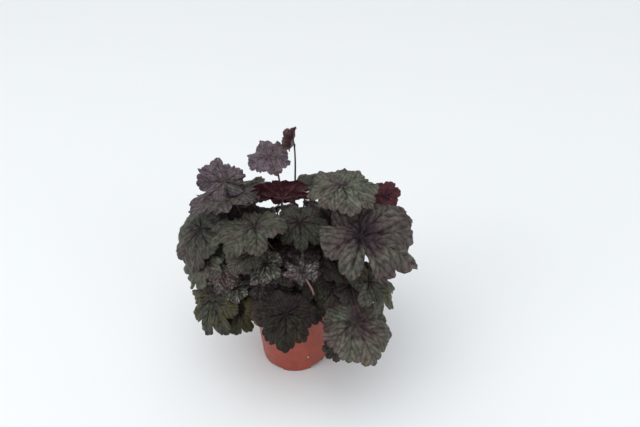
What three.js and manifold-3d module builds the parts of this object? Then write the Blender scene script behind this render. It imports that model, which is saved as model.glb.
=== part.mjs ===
// A potted coral bells plant: a round nursery pot, its peat, a short woody crown, and lobed leaves on
// long petioles. Millimetres, +Z up. The origin is the centre of the pot's underside, and -Y is the side
// that the plant shows best.
import * as THREE from "three";
import Module from "manifold-3d";
import { mergeVertices } from "three/addons/utils/BufferGeometryUtils.js";

const wasm = await Module();
wasm.setup();

// Driving dimensions
const CLEARANCE = 0.3;
const POT = {
  height: 106,
  baseRadius: 45,
  topRadius: 53,
  wall: 1.5,
  floor: 2,
  rim: { height: 8, proud: 1.2, chamfer: 1.2 },
  round: 0.8,
  sides: 36,
};
const DRAIN_SLOTS = { count: 5, width: 19, height: 2.8, reach: 37, firstTurn: 23 };
const SOIL = { edge: 93, middle: 95, lump: 0.9, lumpWidth: 26, sides: 30 };
const CROWN = { radius: 22, top: 112, bottom: 84, shoulder: 98, lump: 0.7, lumpWidth: 15, sides: 16 };
const PETIOLE = { rootRadius: 1.7, topRadius: 1.1, sides: 4, steps: 5, sunk: 5 };
const BLADE_THICKNESS = 0.7;

// How a petiole bends: the shares of its span over which it keeps the crown's way and the blade's way, and
// the way it comes to the blade, as shares of the middle vein's way and the upper face's.
const BEND = { fromCrown: 0.38, toBlade: 0.3, along: 0.4, up: 0.9 };

// Where the petioles leave the crown: rings from its edge to its middle, with the lean from upright at
// each. The counts add up to the number of leaves.
const ROOT_RINGS = [
  { count: 19, lean: 66, radius: 17.8, height: 102 },
  { count: 16, lean: 44, radius: 12.2, height: 107.5 },
  { count: 10, lean: 22, radius: 7.4, height: 110 },
  { count: 1, lean: 5, radius: 0, height: 111 },
];

// A blade's outline, as angles from its middle vein and reaches in blade lengths, up to the sinus.
const SEVEN_LOBES = { angles: [0, 37, 76, 120], reaches: [1, 0.95, 0.84, 0.7], sinus: 167, sinusReach: 0.3 };
const FIVE_LOBES = { angles: [0, 48, 102], reaches: [1, 0.92, 0.76], sinus: 162, sinusReach: 0.34 };
const UNEVEN = 0.12;
const TOOTH = { perHalfLobe: 1.5, depth: 0.055 };
const WAVE = { depth: 0.05, perTurn: 3 };
const PLEAT = { depth: 0.05, fades: 1.3 };
const RING_SHARES = [0.36, 0.7];
const SMALL_LEAF = 40;

// A row of the table of leaves. at is where the petiole meets the blade, and length runs from there to
// the middle lobe's tip. heading is the way the middle vein points, in degrees from +X towards +Y, pitch
// its rise, and roll lifts the blade's left side. rise is the slope at the blade's middle and droop the
// slope down at its edge. cut is the depth of the notches. lobes is 5 on a young leaf. bow bends the
// petiole aside, clear of its neighbours, and sweep does so close to the blade.
function row(name, at, length, [heading, pitch, roll], [rise, droop], cut, extras) {
  const plain = { lobes: 7, bow: [0, 0, 0], sweep: [0, 0, 0] };
  return { ...plain, name, at, length, heading, pitch, roll, rise, droop, cut, ...extras };
}

const LEAVES = [
  // Low in front
  row("front_low", [-5, -74, 138], 45, [-92, -50, 4], [10, 22], 0.2, { bow: [0, 0, -15] }),
  row("front_right_low", [74, -74, 123], 57, [-58, -24, 4], [12, 50], 0.1),
  row("front_right_under", [52, -86, 97], 20, [-86, -34, 0], [8, 20], 0.2, { bow: [0, 0, 15] }),
  row("right_low", [91, -44, 161], 46, [-24, -36, -4], [12, 30], 0.28),
  row("left_low", [-97, -40, 130], 48, [-112, -54, 12], [8, 26], 0.3),
  row("left_low_inner", [-66, -48, 118], 32, [-98, -48, 4], [10, 28], 0.24),
  row("front_right_mid", [51, -38, 146], 32, [-86, -38, 4], [14, 30], 0.28),
  row("front_inner", [0, -38, 138], 28, [-84, -26, 0], [14, 30], 0.24, { bow: [-4, 0, -4] }),
  row("front_left_inner", [-30, -42, 138], 32, [-120, -34, 0], [14, 30], 0.24),
  // Half way up
  row("left_mid", [-103, -12, 174], 46, [-144, -38, 6], [10, 36], 0.24),
  row("left_high", [-110, 8, 200], 54, [-146, -38, 0], [14, 46], 0.14, { bow: [6, -15, 0] }),
  row("young_left", [-80, -36, 168], 26, [-112, -42, 0], [16, 20], 0.28, { lobes: 5 }),
  row("young_left_low", [-67, -43, 150], 20, [-88, -44, 0], [16, 20], 0.28, { lobes: 5 }),
  row("young_front_left", [-28, -44, 188], 28, [-128, -34, 0], [18, 26], 0.28, { bow: [-6, 3, 0] }),
  row("front_left_fold", [-51, -24, 211], 33, [-160, -30, -30], [10, 30], 0.2, { bow: [0, -15, 0] }),
  row("young_front", [14, -59, 186], 25, [110, 12, 0], [20, 26], 0.3, { bow: [18, -8, 0] }),
  row("front_under", [24, -19, 185], 33, [-80, -30, 0], [14, 26], 0.26, { bow: [12, 0, -12] }),
  row("right_mid_small", [65, -26, 176], 20, [-90, -52, 0], [14, 24], 0.26, { lobes: 5 }),
  row("right_mid", [46, 21, 204], 30, [-60, -24, -8], [18, 26], 0.24, { bow: [0, 0, -25] }),
  // The top
  row("front_left_top", [-39, -31, 230], 54, [-158, -4, 8], [16, 32], 0.24, { bow: [3, 0, 0] }),
  row("front_top", [11, -18, 228], 38, [-86, -20, 0], [16, 30], 0.28),
  row("right_top", [80, -32, 216], 74, [-25, -12, 12], [28, 44], 0.22, { bow: [-10, 11, 0] }),
  row("right_back_top", [60, 22, 253], 50, [-80, -4, 0], [12, 30], 0.18, { bow: [-9, 10, 0] }),
  row("right_back_edge", [118, 16, 214], 34, [10, -12, 10], [12, 30], 0.22, { bow: [6, 0, 0] }),
  row("right_back_red", [112, 34, 228], 24, [60, 30, 0], [8, 14], 0.26, { lobes: 5, bow: [-3, 14, 0] }),
  row("left_top", [-70, 20, 236], 58, [182, -6, 12], [18, 30], 0.2, { bow: [0, 0, -15] }),
  row("left_back_top", [-80, 28, 253], 34, [122, 46, 0], [18, 24], 0.3, {
    bow: [21, -15, -15],
    sweep: [74, -6, 58],
  }),
  row("back_left_top", [-28, 62, 271], 30, [-110, -20, 0], [10, 20], 0.2, { bow: [8, -10, 0] }),
  row("back_top_under", [-12, 30, 228], 44, [-90, 70, 0], [14, 20], 0.24),
  row("top_young", [3, 56, 289], 22, [60, 50, 0], [52, -8], 0.3, { lobes: 5, bow: [-10, 8, 0] }),
  // Behind
  row("back_top", [34, 58, 236], 40, [55, -14, 0], [14, 32], 0.22),
  row("back_left_top_low", [-62, 62, 224], 40, [150, -20, 0], [14, 34], 0.2),
  row("back_right_top_low", [92, 66, 214], 38, [30, -20, 0], [14, 32], 0.24),
  row("back_right_mid", [40, 94, 174], 40, [66, -38, 0], [12, 30], 0.26),
  row("back_left_mid", [-26, 94, 170], 40, [106, -38, 0], [12, 30], 0.22),
  row("back_right_high", [82, 62, 188], 44, [44, -24, -8], [14, 36], 0.2, { bow: [6, 0, 0] }),
  row("back_high", [14.5, 84, 210], 46, [88, -22, 0], [14, 36], 0.22),
  row("back_left_high", [-58, 72, 196], 44, [132, -24, 0], [14, 36], 0.24),
  row("left_back_mid", [-92, 44, 176], 44, [156, -34, 0], [12, 34], 0.2),
  row("right_back_mid", [106, 34, 168], 42, [14, -36, 0], [12, 34], 0.24),
  row("back_right_low", [72, 74, 136], 44, [48, -46, 0], [10, 30], 0.26),
  row("back_low", [10, 88, 140], 44, [88, -48, 0], [10, 30], 0.2),
  row("back_left_low", [-54, 72, 138], 42, [130, -46, 0], [10, 30], 0.24),
  row("left_back_low", [-86, 16, 128], 38, [170, -50, 0], [10, 28], 0.26),
  row("right_side_low", [92, 2, 130], 38, [-2, -50, 0], [10, 28], 0.22),
  // Deep inside
  row("inner_left", [-20, 4, 166], 30, [-120, -36, 0], [14, 30], 0.24, { bow: [6, -6, -16] }),
];

// Colours
const LEAF_GREY_GREEN = 0x5c5f57;
const LEAF_PURPLE = 0x5f5459;
const LEAF_YOUNG = 0x6a3a44;
const COLOURS = { pot: 0xa9594a, soil: 0x33271f, crown: 0x5a4636 };
const ROUGHNESS = { leaf: 0.5, pot: 0.45, soil: 0.95, crown: 0.9 };

const DEGREE = Math.PI / 180;
const UP = new THREE.Vector3(0, 0, 1);
const DRAW = { modulus: 2147483647, factor: 16807, spread: 7919, first: 104729 };
const WAVE_DRAW = 20;

// The n-th draw from 0 to 1 of a seed, by a multiplying generator.
function draw(seed, n) {
  let state = (seed * DRAW.spread + DRAW.first) % DRAW.modulus;
  for (let i = 0; i <= n; i++) state = (state * DRAW.factor) % DRAW.modulus;
  return state / DRAW.modulus;
}

// A closed geometry as a solid that can be joined and cut.
function solidOf(geometry) {
  const plain = geometry.index ? geometry.toNonIndexed() : geometry;
  const bare = new THREE.BufferGeometry().setAttribute("position", plain.getAttribute("position"));
  const merged = mergeVertices(bare, 1e-4);
  const vertProperties = new Float32Array(merged.attributes.position.array);
  const triVerts = new Uint32Array(merged.index.array);
  return new wasm.Manifold(new wasm.Mesh({ numProp: 3, vertProperties, triVerts }));
}

function geometryOf(solid) {
  const mesh = solid.getMesh();
  const places = new Float32Array(mesh.numVert * 3);
  for (let i = 0; i < mesh.numVert; i++) {
    places.set(mesh.vertProperties.subarray(i * mesh.numProp, i * mesh.numProp + 3), i * 3);
  }
  const geometry = new THREE.BufferGeometry();
  geometry.setAttribute("position", new THREE.BufferAttribute(places, 3));
  geometry.setIndex(new THREE.BufferAttribute(new Uint32Array(mesh.triVerts), 1));
  geometry.computeVertexNormals();
  return geometry;
}

// Triangles given as corner points, as a geometry.
class Surface {
  places = [];

  add(...corners) {
    for (const p of corners) this.places.push(p.x, p.y, p.z);
  }

  geometry() {
    const geometry = new THREE.BufferGeometry();
    geometry.setAttribute("position", new THREE.BufferAttribute(new Float32Array(this.places), 3));
    return geometry;
  }
}

// A solid of revolution about Z, from pairs of radius and height.
function turned(profile, sides) {
  const lathe = new THREE.LatheGeometry(profile.map(([r, z]) => new THREE.Vector2(r, z)), sides);
  return lathe.rotateX(Math.PI / 2);
}

// Raises and lowers the part of a geometry above a height, in rounded lumps.
function lumpy(geometry, above, lump, width) {
  const places = geometry.getAttribute("position");
  for (let i = 0; i < places.count; i++) {
    const [x, y, z] = [places.getX(i), places.getY(i), places.getZ(i)];
    if (z < above) continue;
    const turn = (2 * Math.PI) / width;
    places.setZ(i, z + lump * Math.sin(turn * x + 1) * Math.cos(turn * y - 0.6));
  }
  return geometry;
}

// The rays of one side of a blade: each vein, each notch between two veins, and the edge by the sinus.
function raysOf(leaf, side) {
  const plan = leaf.lobes === 5 ? FIVE_LOBES : SEVEN_LOBES;
  const reaches = plan.reaches.map((reach, k) => {
    const uneven = k === 0 ? 0 : draw(leaf.seed, 2 * k + (side > 0 ? 0 : 1)) - 0.5;
    return reach * (1 + UNEVEN * uneven);
  });
  const rays = [];
  plan.angles.forEach((angle, k) => {
    rays.push({ angle, reach: reaches[k], vein: true });
    if (k + 1 < plan.angles.length) {
      const notch = (1 - leaf.cut) * 0.5 * (reaches[k] + reaches[k + 1]);
      rays.push({ angle: 0.5 * (angle + plan.angles[k + 1]), reach: notch, vein: false });
    }
  });
  rays.push({ angle: plan.sinus, reach: plan.sinusReach, vein: false });
  return rays;
}

// The reach of the edge between two rays, at a share of the way from the vein to the notch.
function edgeReach(tip, notch, share) {
  const lobe = notch + (tip - notch) * (1 - share ** 1.7);
  const scallop = Math.abs(Math.cos(Math.PI * TOOTH.perHalfLobe * share)) ** 0.7;
  return lobe * (1 - TOOTH.depth * (1 - scallop));
}

// The blade's edge from the sinus round to the sinus, with perSpan points from each ray to the next.
function edgeOf(leaf, perSpan) {
  const half = (side) => {
    const rays = raysOf(leaf, side);
    const points = [];
    for (let i = 0; i + 1 < rays.length; i++) {
      const [from, to] = [rays[i], rays[i + 1]];
      const [tip, notch] = from.vein ? [from.reach, to.reach] : [to.reach, from.reach];
      for (let j = 0; j < perSpan; j++) {
        const share = j / perSpan;
        const fromVein = from.vein ? share : 1 - share;
        const angle = side * (from.angle + (to.angle - from.angle) * share) * DEGREE;
        points.push({ angle, reach: edgeReach(tip, notch, fromVein), fromVein, onRay: j === 0 });
      }
    }
    const last = rays[rays.length - 1];
    points.push({ angle: side * last.angle * DEGREE, reach: last.reach, fromVein: 0.5, onRay: true });
    return points;
  };
  return [...half(-1).reverse(), ...half(1).slice(1)];
}

// A point of the blade's middle surface: x along the middle vein, y to its left, z out of the face.
function bladePoint(leaf, { angle, reach, fromVein }) {
  const rise = leaf.rise * DEGREE;
  const bend = (leaf.rise + leaf.droop) * DEGREE;
  const out = (Math.sin(rise) - Math.sin(rise - bend * reach)) / bend;
  const up = (Math.cos(rise - bend * reach) - Math.cos(rise)) / bend;
  const phase = 2 * Math.PI * draw(leaf.seed, WAVE_DRAW);
  const wave = WAVE.depth * reach ** 2 * Math.sin(WAVE.perTurn * angle + phase);
  const pleat = PLEAT.depth * Math.sin((fromVein * Math.PI) / 2) * reach * (PLEAT.fades - reach);
  const point = new THREE.Vector3(out * Math.cos(angle), out * Math.sin(angle), up + wave + pleat);
  return point.multiplyScalar(leaf.length);
}

// The triangles between two rings of points that run by angle, stepping on along the ring that is behind.
function ringTriangles(inner, innerStart, outer, outerStart) {
  const triangles = [];
  let i = 0;
  let j = 0;
  while (i + 1 < inner.length || j + 1 < outer.length) {
    const innerDone = i + 1 >= inner.length;
    const outerBehind = j + 1 < outer.length && (innerDone || outer[j + 1].angle < inner[i + 1].angle - 1e-9);
    if (outerBehind) {
      triangles.push([innerStart + i, outerStart + j, outerStart + j + 1]);
      j++;
    } else {
      triangles.push([innerStart + i, outerStart + j, innerStart + i + 1]);
      i++;
    }
  }
  return triangles;
}

// The blade as a closed solid in its own frame. Both faces carry the same triangles.
function bladeGeometry(leaf) {
  const edge = edgeOf(leaf, leaf.length < SMALL_LEAF ? 2 : 3);
  const shrunk = (ring, share) => ring.map((p) => ({ ...p, reach: p.reach * share }));
  const rays = edge.filter((p) => p.onRay);
  const veins = rays.filter((p, k) => p.fromVein === 0 || k === 0 || k === rays.length - 1);
  const rings = [shrunk(veins, RING_SHARES[0]), shrunk(rays, RING_SHARES[1]), edge];
  const points = [bladePoint(leaf, { angle: 0, reach: 0, fromVein: 0 })];
  const starts = rings.map((ring) => {
    const start = points.length;
    points.push(...ring.map((p) => bladePoint(leaf, p)));
    return start;
  });
  const triangles = veins.slice(1).map((_, i) => [0, starts[0] + i, starts[0] + i + 1]);
  for (let r = 0; r + 1 < rings.length; r++) {
    triangles.push(...ringTriangles(rings[r], starts[r], rings[r + 1], starts[r + 1]));
  }
  const normals = points.map(() => new THREE.Vector3());
  for (const [a, b, c] of triangles) {
    const area = points[b].clone().sub(points[a]).cross(points[c].clone().sub(points[a]));
    for (const k of [a, b, c]) normals[k].add(area);
  }
  normals.forEach((n) => n.normalize());
  const top = points.map((p, k) => p.clone().addScaledVector(normals[k], BLADE_THICKNESS / 2));
  const bottom = points.map((p, k) => p.clone().addScaledVector(normals[k], -BLADE_THICKNESS / 2));
  const surface = new Surface();
  for (const [a, b, c] of triangles) {
    surface.add(top[a], top[b], top[c]);
    surface.add(bottom[a], bottom[c], bottom[b]);
  }
  const outwards = starts.slice(0, -1);
  const inwards = outwards.map((start, r) => start + rings[r].length - 1).reverse();
  const round = [0, ...outwards, ...edge.map((_, k) => starts[rings.length - 1] + k), ...inwards];
  round.forEach((a, k) => {
    const b = round[(k + 1) % round.length];
    surface.add(top[a], bottom[a], bottom[b]);
    surface.add(top[a], bottom[b], top[b]);
  });
  return surface.geometry();
}

// The blade's frame in the plant: x along the middle vein, y to its left, z out of its upper face.
function frameOf(leaf) {
  const [heading, pitch] = [leaf.heading * DEGREE, leaf.pitch * DEGREE];
  const level = new THREE.Vector3(Math.cos(heading), Math.sin(heading), 0);
  const along = level.multiplyScalar(Math.cos(pitch)).addScaledVector(UP, Math.sin(pitch));
  const left = UP.clone().cross(along).normalize().applyAxisAngle(along, leaf.roll * DEGREE);
  return new THREE.Matrix4().makeBasis(along, left, along.clone().cross(left)).setPosition(...leaf.at);
}

// Shares the crown's places out: the leaves that lean furthest take the outermost ring, and each ring is
// filled by compass.
function rootPlaces(leaves) {
  const compass = (leaf) => Math.atan2(leaf.at[1], leaf.at[0]);
  const lean = (leaf) => Math.atan2(Math.hypot(leaf.at[0], leaf.at[1]), leaf.at[2] - CROWN.bottom);
  const queue = [...leaves].sort((a, b) => lean(b) - lean(a));
  const places = new Map();
  for (const ring of ROOT_RINGS) {
    const members = queue.splice(0, ring.count).sort((a, b) => compass(a) - compass(b));
    const turns = members.map((leaf, k) => compass(leaf) - (k / members.length) * 2 * Math.PI);
    const first = turns.reduce((sum, turn) => sum + turn, 0) / Math.max(1, turns.length);
    const tilt = ring.lean * DEGREE;
    members.forEach((leaf, k) => {
      const turn = first + (k / members.length) * 2 * Math.PI;
      const level = new THREE.Vector3(Math.cos(turn), Math.sin(turn), 0);
      const spot = level.clone().multiplyScalar(ring.radius).addScaledVector(UP, ring.height);
      const way = level.multiplyScalar(Math.sin(tilt)).addScaledVector(UP, Math.cos(tilt));
      places.set(leaf.name, { spot, way });
    });
  }
  return places;
}

// The petiole's middle line in the plant, from inside the crown to the blade, with room to bow aside.
function petioleCurve(leaf, place) {
  const [along, left, face] = [new THREE.Vector3(), new THREE.Vector3(), new THREE.Vector3()];
  frameOf(leaf).extractBasis(along, left, face);
  const end = new THREE.Vector3(...leaf.at);
  const root = place.spot.clone().addScaledVector(place.way, -PETIOLE.sunk);
  const arrival = along.multiplyScalar(BEND.along).addScaledVector(face, BEND.up).normalize();
  const span = end.distanceTo(root);
  const [bow, sweep] = [new THREE.Vector3(...leaf.bow), new THREE.Vector3(...leaf.sweep)];
  const first = root.clone().addScaledVector(place.way, span * BEND.fromCrown).add(bow);
  const second = end.clone().addScaledVector(arrival, -span * BEND.toBlade).add(bow).add(sweep);
  return new THREE.CubicBezierCurve3(root, first, second, end);
}

// A tapering tube with flat ends round a curve. spare widens it.
function petioleTube(curve, spare) {
  const { sides, steps } = PETIOLE;
  const frames = curve.computeFrenetFrames(steps, false);
  const rings = [];
  for (let i = 0; i <= steps; i++) {
    const centre = curve.getPointAt(i / steps);
    const radius = THREE.MathUtils.lerp(PETIOLE.rootRadius, PETIOLE.topRadius, i / steps) + spare;
    rings.push(
      [...Array(sides).keys()].map((k) => {
        const turn = (k / sides) * 2 * Math.PI;
        const across = frames.normals[i].clone().multiplyScalar(Math.cos(turn) * radius);
        return centre.clone().add(across).addScaledVector(frames.binormals[i], Math.sin(turn) * radius);
      }),
    );
  }
  const surface = new Surface();
  for (let i = 0; i < steps; i++) {
    for (let k = 0; k < sides; k++) {
      const next = (k + 1) % sides;
      surface.add(rings[i][k], rings[i][next], rings[i + 1][next]);
      surface.add(rings[i][k], rings[i + 1][next], rings[i + 1][k]);
    }
  }
  for (let k = 1; k + 1 < sides; k++) {
    surface.add(rings[0][0], rings[0][k + 1], rings[0][k]);
    surface.add(rings[steps][0], rings[steps][k], rings[steps][k + 1]);
  }
  return surface.geometry();
}

function meshOf(name, solid, color, roughness) {
  const mesh = new THREE.Mesh(geometryOf(solid), new THREE.MeshStandardMaterial({ color, roughness }));
  mesh.name = name;
  return mesh;
}

// A leaf: its blade fused to its petiole, modelled in the blade's frame and placed by it.
function leafMesh(leaf, curve) {
  const frame = frameOf(leaf);
  const stalk = petioleTube(curve, 0).applyMatrix4(frame.clone().invert());
  const solid = solidOf(bladeGeometry(leaf)).add(solidOf(stalk));
  const young = leaf.lobes === 5;
  const grown = leaf.seed % 3 === 0 ? LEAF_PURPLE : LEAF_GREY_GREEN;
  const mesh = meshOf("leaf_" + leaf.name, solid, young ? LEAF_YOUNG : grown, ROUGHNESS.leaf);
  frame.decompose(mesh.position, mesh.quaternion, mesh.scale);
  mesh.scale.set(1, 1, 1);
  return mesh;
}

const plant = new THREE.Group();
LEAVES.forEach((leaf, k) => (leaf.seed = k + 1));
const places = rootPlaces(LEAVES);
const curves = LEAVES.map((leaf) => petioleCurve(leaf, places.get(leaf.name)));
LEAVES.forEach((leaf, k) => plant.add(leafMesh(leaf, curves[k])));

// The radius of the pot's outer wall at a height.
function wallRadius(z) {
  return POT.baseRadius + ((POT.topRadius - POT.baseRadius) * z) / POT.height;
}

// The pot: a tapering thin wall with a rolled rim, a flat floor, and drain slots round its heel.
function potMesh() {
  const { height, wall, floor, rim, round } = POT;
  const rimBottom = height - rim.height;
  const neck = rimBottom - rim.chamfer;
  const lip = wallRadius(height) + rim.proud;
  const rimWall = wall + round;
  const profile = [
    [0, 0],
    [POT.baseRadius - round, 0],
    [POT.baseRadius, round],
    [wallRadius(neck), neck],
    [wallRadius(rimBottom) + rim.proud, rimBottom],
    [lip, height - round],
    [lip - round, height],
    [lip - rimWall + round / 2, height],
    [lip - rimWall, height - round],
    [wallRadius(rimBottom) + rim.proud - rimWall, rimBottom + round],
    [wallRadius(neck) - wall, neck],
    [wallRadius(floor) - wall, floor],
    [0, floor],
  ];
  let solid = solidOf(turned(profile, POT.sides));
  for (let k = 0; k < DRAIN_SLOTS.count; k++) {
    const depth = POT.topRadius - DRAIN_SLOTS.reach;
    const slot = new THREE.BoxGeometry(depth, DRAIN_SLOTS.width, 2 * DRAIN_SLOTS.height);
    slot.translate(DRAIN_SLOTS.reach + depth / 2, 0, 0);
    slot.rotateZ((DRAIN_SLOTS.firstTurn + (k * 360) / DRAIN_SLOTS.count) * DEGREE);
    solid = solid.subtract(solidOf(slot));
  }
  return meshOf("pot", solid, COLOURS.pot, ROUGHNESS.pot);
}

// The crown: a short woody knob that stands in the peat, with a plain hole for each petiole.
function crownShape(spare) {
  const { radius, top, bottom, shoulder } = CROWN;
  const profile = [
    [0, bottom - spare],
    [0.8 * radius + spare, bottom - spare],
    [radius + spare, bottom + 4],
    [radius + spare, shoulder],
    [0.86 * radius + spare, THREE.MathUtils.lerp(shoulder, top, 0.45)],
    [0.52 * radius + spare, THREE.MathUtils.lerp(shoulder, top, 0.8) + spare],
    [0, top + spare],
  ];
  return solidOf(lumpy(turned(profile, CROWN.sides), shoulder + 1, CROWN.lump, CROWN.lumpWidth));
}

function crownMesh() {
  const holes = curves.map((curve) => solidOf(petioleTube(curve, CLEARANCE)));
  const solid = holes.reduce((rest, hole) => rest.subtract(hole), crownShape(0));
  return meshOf("crown", solid, COLOURS.crown, ROUGHNESS.crown);
}

// The peat that fills the pot, gently lumpy, with a plain hole for the crown.
function soilMesh() {
  const gap = POT.wall + CLEARANCE;
  const bottom = POT.floor + CLEARANCE;
  const rim = wallRadius(SOIL.edge) - gap;
  const profile = [
    [0, bottom],
    [wallRadius(bottom) - gap, bottom],
    [rim, SOIL.edge],
    [0.84 * rim, THREE.MathUtils.lerp(SOIL.edge, SOIL.middle, 0.5)],
    [0.66 * rim, SOIL.middle],
    [0, SOIL.middle],
  ];
  const peat = lumpy(turned(profile, SOIL.sides), SOIL.edge + 0.5, SOIL.lump, SOIL.lumpWidth);
  const solid = solidOf(peat).subtract(crownShape(CLEARANCE));
  return meshOf("soil", solid, COLOURS.soil, ROUGHNESS.soil);
}

const part = new THREE.Group();
part.add(potMesh(), soilMesh(), crownMesh(), plant);

export default part;
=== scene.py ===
"""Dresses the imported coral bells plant: fine leaves, pot, peat, crown, and a plain studio round them."""
import math

import bmesh
import bpy
import numpy as np
from bpy.props import FloatProperty, FloatVectorProperty, IntProperty, PointerProperty
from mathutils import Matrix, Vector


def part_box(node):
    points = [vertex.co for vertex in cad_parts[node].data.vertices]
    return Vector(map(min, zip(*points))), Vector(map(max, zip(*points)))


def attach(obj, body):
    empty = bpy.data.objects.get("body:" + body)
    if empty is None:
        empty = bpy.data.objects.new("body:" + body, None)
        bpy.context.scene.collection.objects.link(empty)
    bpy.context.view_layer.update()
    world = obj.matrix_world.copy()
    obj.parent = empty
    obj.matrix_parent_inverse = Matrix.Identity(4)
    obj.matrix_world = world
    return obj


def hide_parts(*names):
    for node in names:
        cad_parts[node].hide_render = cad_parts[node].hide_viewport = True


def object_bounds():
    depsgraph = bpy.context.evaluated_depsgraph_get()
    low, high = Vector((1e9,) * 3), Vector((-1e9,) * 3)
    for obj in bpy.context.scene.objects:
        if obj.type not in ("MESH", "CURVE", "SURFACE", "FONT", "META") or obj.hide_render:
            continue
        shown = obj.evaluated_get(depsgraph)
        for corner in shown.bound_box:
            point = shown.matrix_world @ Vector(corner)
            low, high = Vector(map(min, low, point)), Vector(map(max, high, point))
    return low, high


bl_info = {
    "name": "Potted Coral Bells",
    "version": (1, 0, 0),
    "blender": (4, 5, 0),
    "location": "View3D > Sidebar > Coral Bells",
    "description": "Makes the fine leaves, pot, peat and crown of a potted coral bells plant",
    "category": "Add Mesh",
}

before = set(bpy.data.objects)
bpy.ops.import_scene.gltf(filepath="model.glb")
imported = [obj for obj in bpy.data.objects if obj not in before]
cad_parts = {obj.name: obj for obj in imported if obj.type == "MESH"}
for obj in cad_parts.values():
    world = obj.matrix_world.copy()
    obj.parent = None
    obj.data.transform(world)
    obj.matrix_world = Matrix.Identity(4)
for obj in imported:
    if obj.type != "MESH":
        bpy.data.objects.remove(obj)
CAD_BOX = [list(corner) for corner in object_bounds()]
POT_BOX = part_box("pot")
MM = 0.001

# Plan of a blade: its lobes from the middle one to each side, and the sinus by its petiole. UNEVEN is how
# far a lobe's reach may vary, FULLER makes up for what the teeth take away, and TORN_CUT is the cut of a
# torn notch.
SEVEN_LOBES = {"angles": (0, 37, 76, 120), "reaches": (1, 0.95, 0.84, 0.7)}
FIVE_LOBES = {"angles": (0, 48, 102), "reaches": (1, 0.92, 0.76)}
SINUS = {"angle": 180, "reach": 0.5}
UNEVEN = 0.12
FULLER = 1.035
TORN_CUT = 0.66

# Large teeth with small ones on them, how blunt both are, and their points; the margin between the teeth
TOOTH = {
    "per_half_lobe": 1.5, "small_per_large": 3, "depth": 0.055, "bluntness": 0.7, "small_bluntness": 0.6,
    "tip": 0.25, "point": 1.5, "point_sunk": 0.3, "outward": 7,
}
MARGIN = {"waves": 41, "depth": 0.012, "teeth_fade": 0.6, "thinner": 0.3}

# The blade's broad wave, its pleats, its cup when it is young, its side veins and its main veins
WAVE = {"depth": 0.05, "per_turn": 3}
PLEAT = {"depth": 0.05, "fades": 1.3}
CUP = {"rise": 0.75, "narrows": 0.55}
BRANCH = {"spacing": 0.17, "lean": 1.35, "curl": 0.9}
VEIN = {"groove": 0.016, "rib": 0.02, "pucker_starts": 0.06, "pucker_dome": 1.4}
NO_VEIN = (0.5, 0.2)
RELIEF = {"full_at": 0.15, "fades": 0.6}

# Uneven waves over a blade: how many, their paces, how far out they reach full height, and their first draw.
# A wave starts at a draw times WAVE_START, in radians. WANDER's waves bend the lines of the side veins.
WAVE_START = 6
CRINKLES = {
    "count": 5, "slowest": 26, "spread": 16, "full_at": 0.25, "draw": 150, "least": 0.4, "quilted": 0.6,
}
SWELLS = {"count": 4, "slowest": 7, "spread": 9, "full_at": 0.3, "draw": 50}
LOBE_WAVES = (2, 5, 7)
WANDER = {"depth": 0.012, "full_at": 0.3, "fine": 0.6, "paces": ((0, 9), (21, 17), (8, 0), (-15, 19))}

# How the margin curls and ruffles
CURL = {"even": 0.65, "outward": 6}
RUFFLE = {
    "bend": 0.12, "bends": 5, "waves": 13, "start": 5, "small": 0.5, "small_waves": 27, "small_start": 1.7,
    "outward": 3,
}

# The generator of draws, and which of a leaf's draws goes to what
DRAW = {"modulus": 2147483647, "factor": 16807, "spread": 7919, "first": 104729}
DRAWS = {
    "wave": 20, "green": 31, "aged": 32, "veins": 40, "ruffle": 62, "curl": 63, "lobe_waves": 64,
    "lobe_heights": 67, "margin": 70, "wander": 90,
}

# How finely a leaf is divided: rings of about a cell's width, spans for a large and for a small leaf, and
# the sides and steps of its petiole. A ring near the middle takes the widest step with narrow enough spans.
LARGE_LEAF = 40
FINE = {"cell": 1.5, "rings": 10, "spans": (36, 18), "sides": 10, "steps": 26}
COARSE = {"cell": 3.2, "rings": 9, "spans": (12, 12), "sides": 6, "steps": 12}
RING = {"steps": (12, 4, 2, 1), "arc": 0.34, "widest": 1.7}

# How the petioles leave the crown and reach their blades. A ring of roots has a count, tilt, radius, height.
CROWN_BOTTOM = 84
PETIOLE = {"sunk": 5, "flare": 0.5, "flare_length": 0.03, "sides_under_hairs": 8}
BEND = {"from_crown": 0.38, "to_blade": 0.3, "along": 0.4, "up": 0.9}
ROOT_RINGS = ((19, 66, 17.8, 102), (16, 44, 12.2, 107.5), (10, 22, 7.4, 110), (1, 5, 0, 111))
INNER_ROOT = {"tilt": 30, "radius": 9, "height": 108}

# A tube's first point lies square to this way and to the line, and its end caps are this high, in radii. A
# rounded corner takes at most this share of each side.
TUBE = {"aside": (0.31, 0.73, 0.6), "cap": 0.5}
ROUNDED_SHARE = 0.45

# The pot's moulded details, its drain slots, of which the front right one is taller, and where a grain of
# perlite sticks to its wall
POT = {
    "sides": 160, "floor": 2 * MM, "hollow": 0.9 * MM, "ring": 12 * MM, "ring_slope": 12.6 * MM,
    "edge": 0.2 * MM, "heel": 4 * MM, "rim": 8 * MM, "proud": 1.2 * MM, "step": 0.8 * MM, "corner": 0.8 * MM,
}
SLOT = {
    "inner": 37 * MM, "depth": 16 * MM, "width": 19 * MM, "height": 2.8 * MM, "taller": 4.2 * MM,
    "taller_one": 4, "first": 23, "corner": 1.1 * MM,
}
STUCK_GRAIN = {"at": (18.3 * MM, -43.7 * MM, 27 * MM), "radius": 1.05, "uneven": 0.3}

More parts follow.
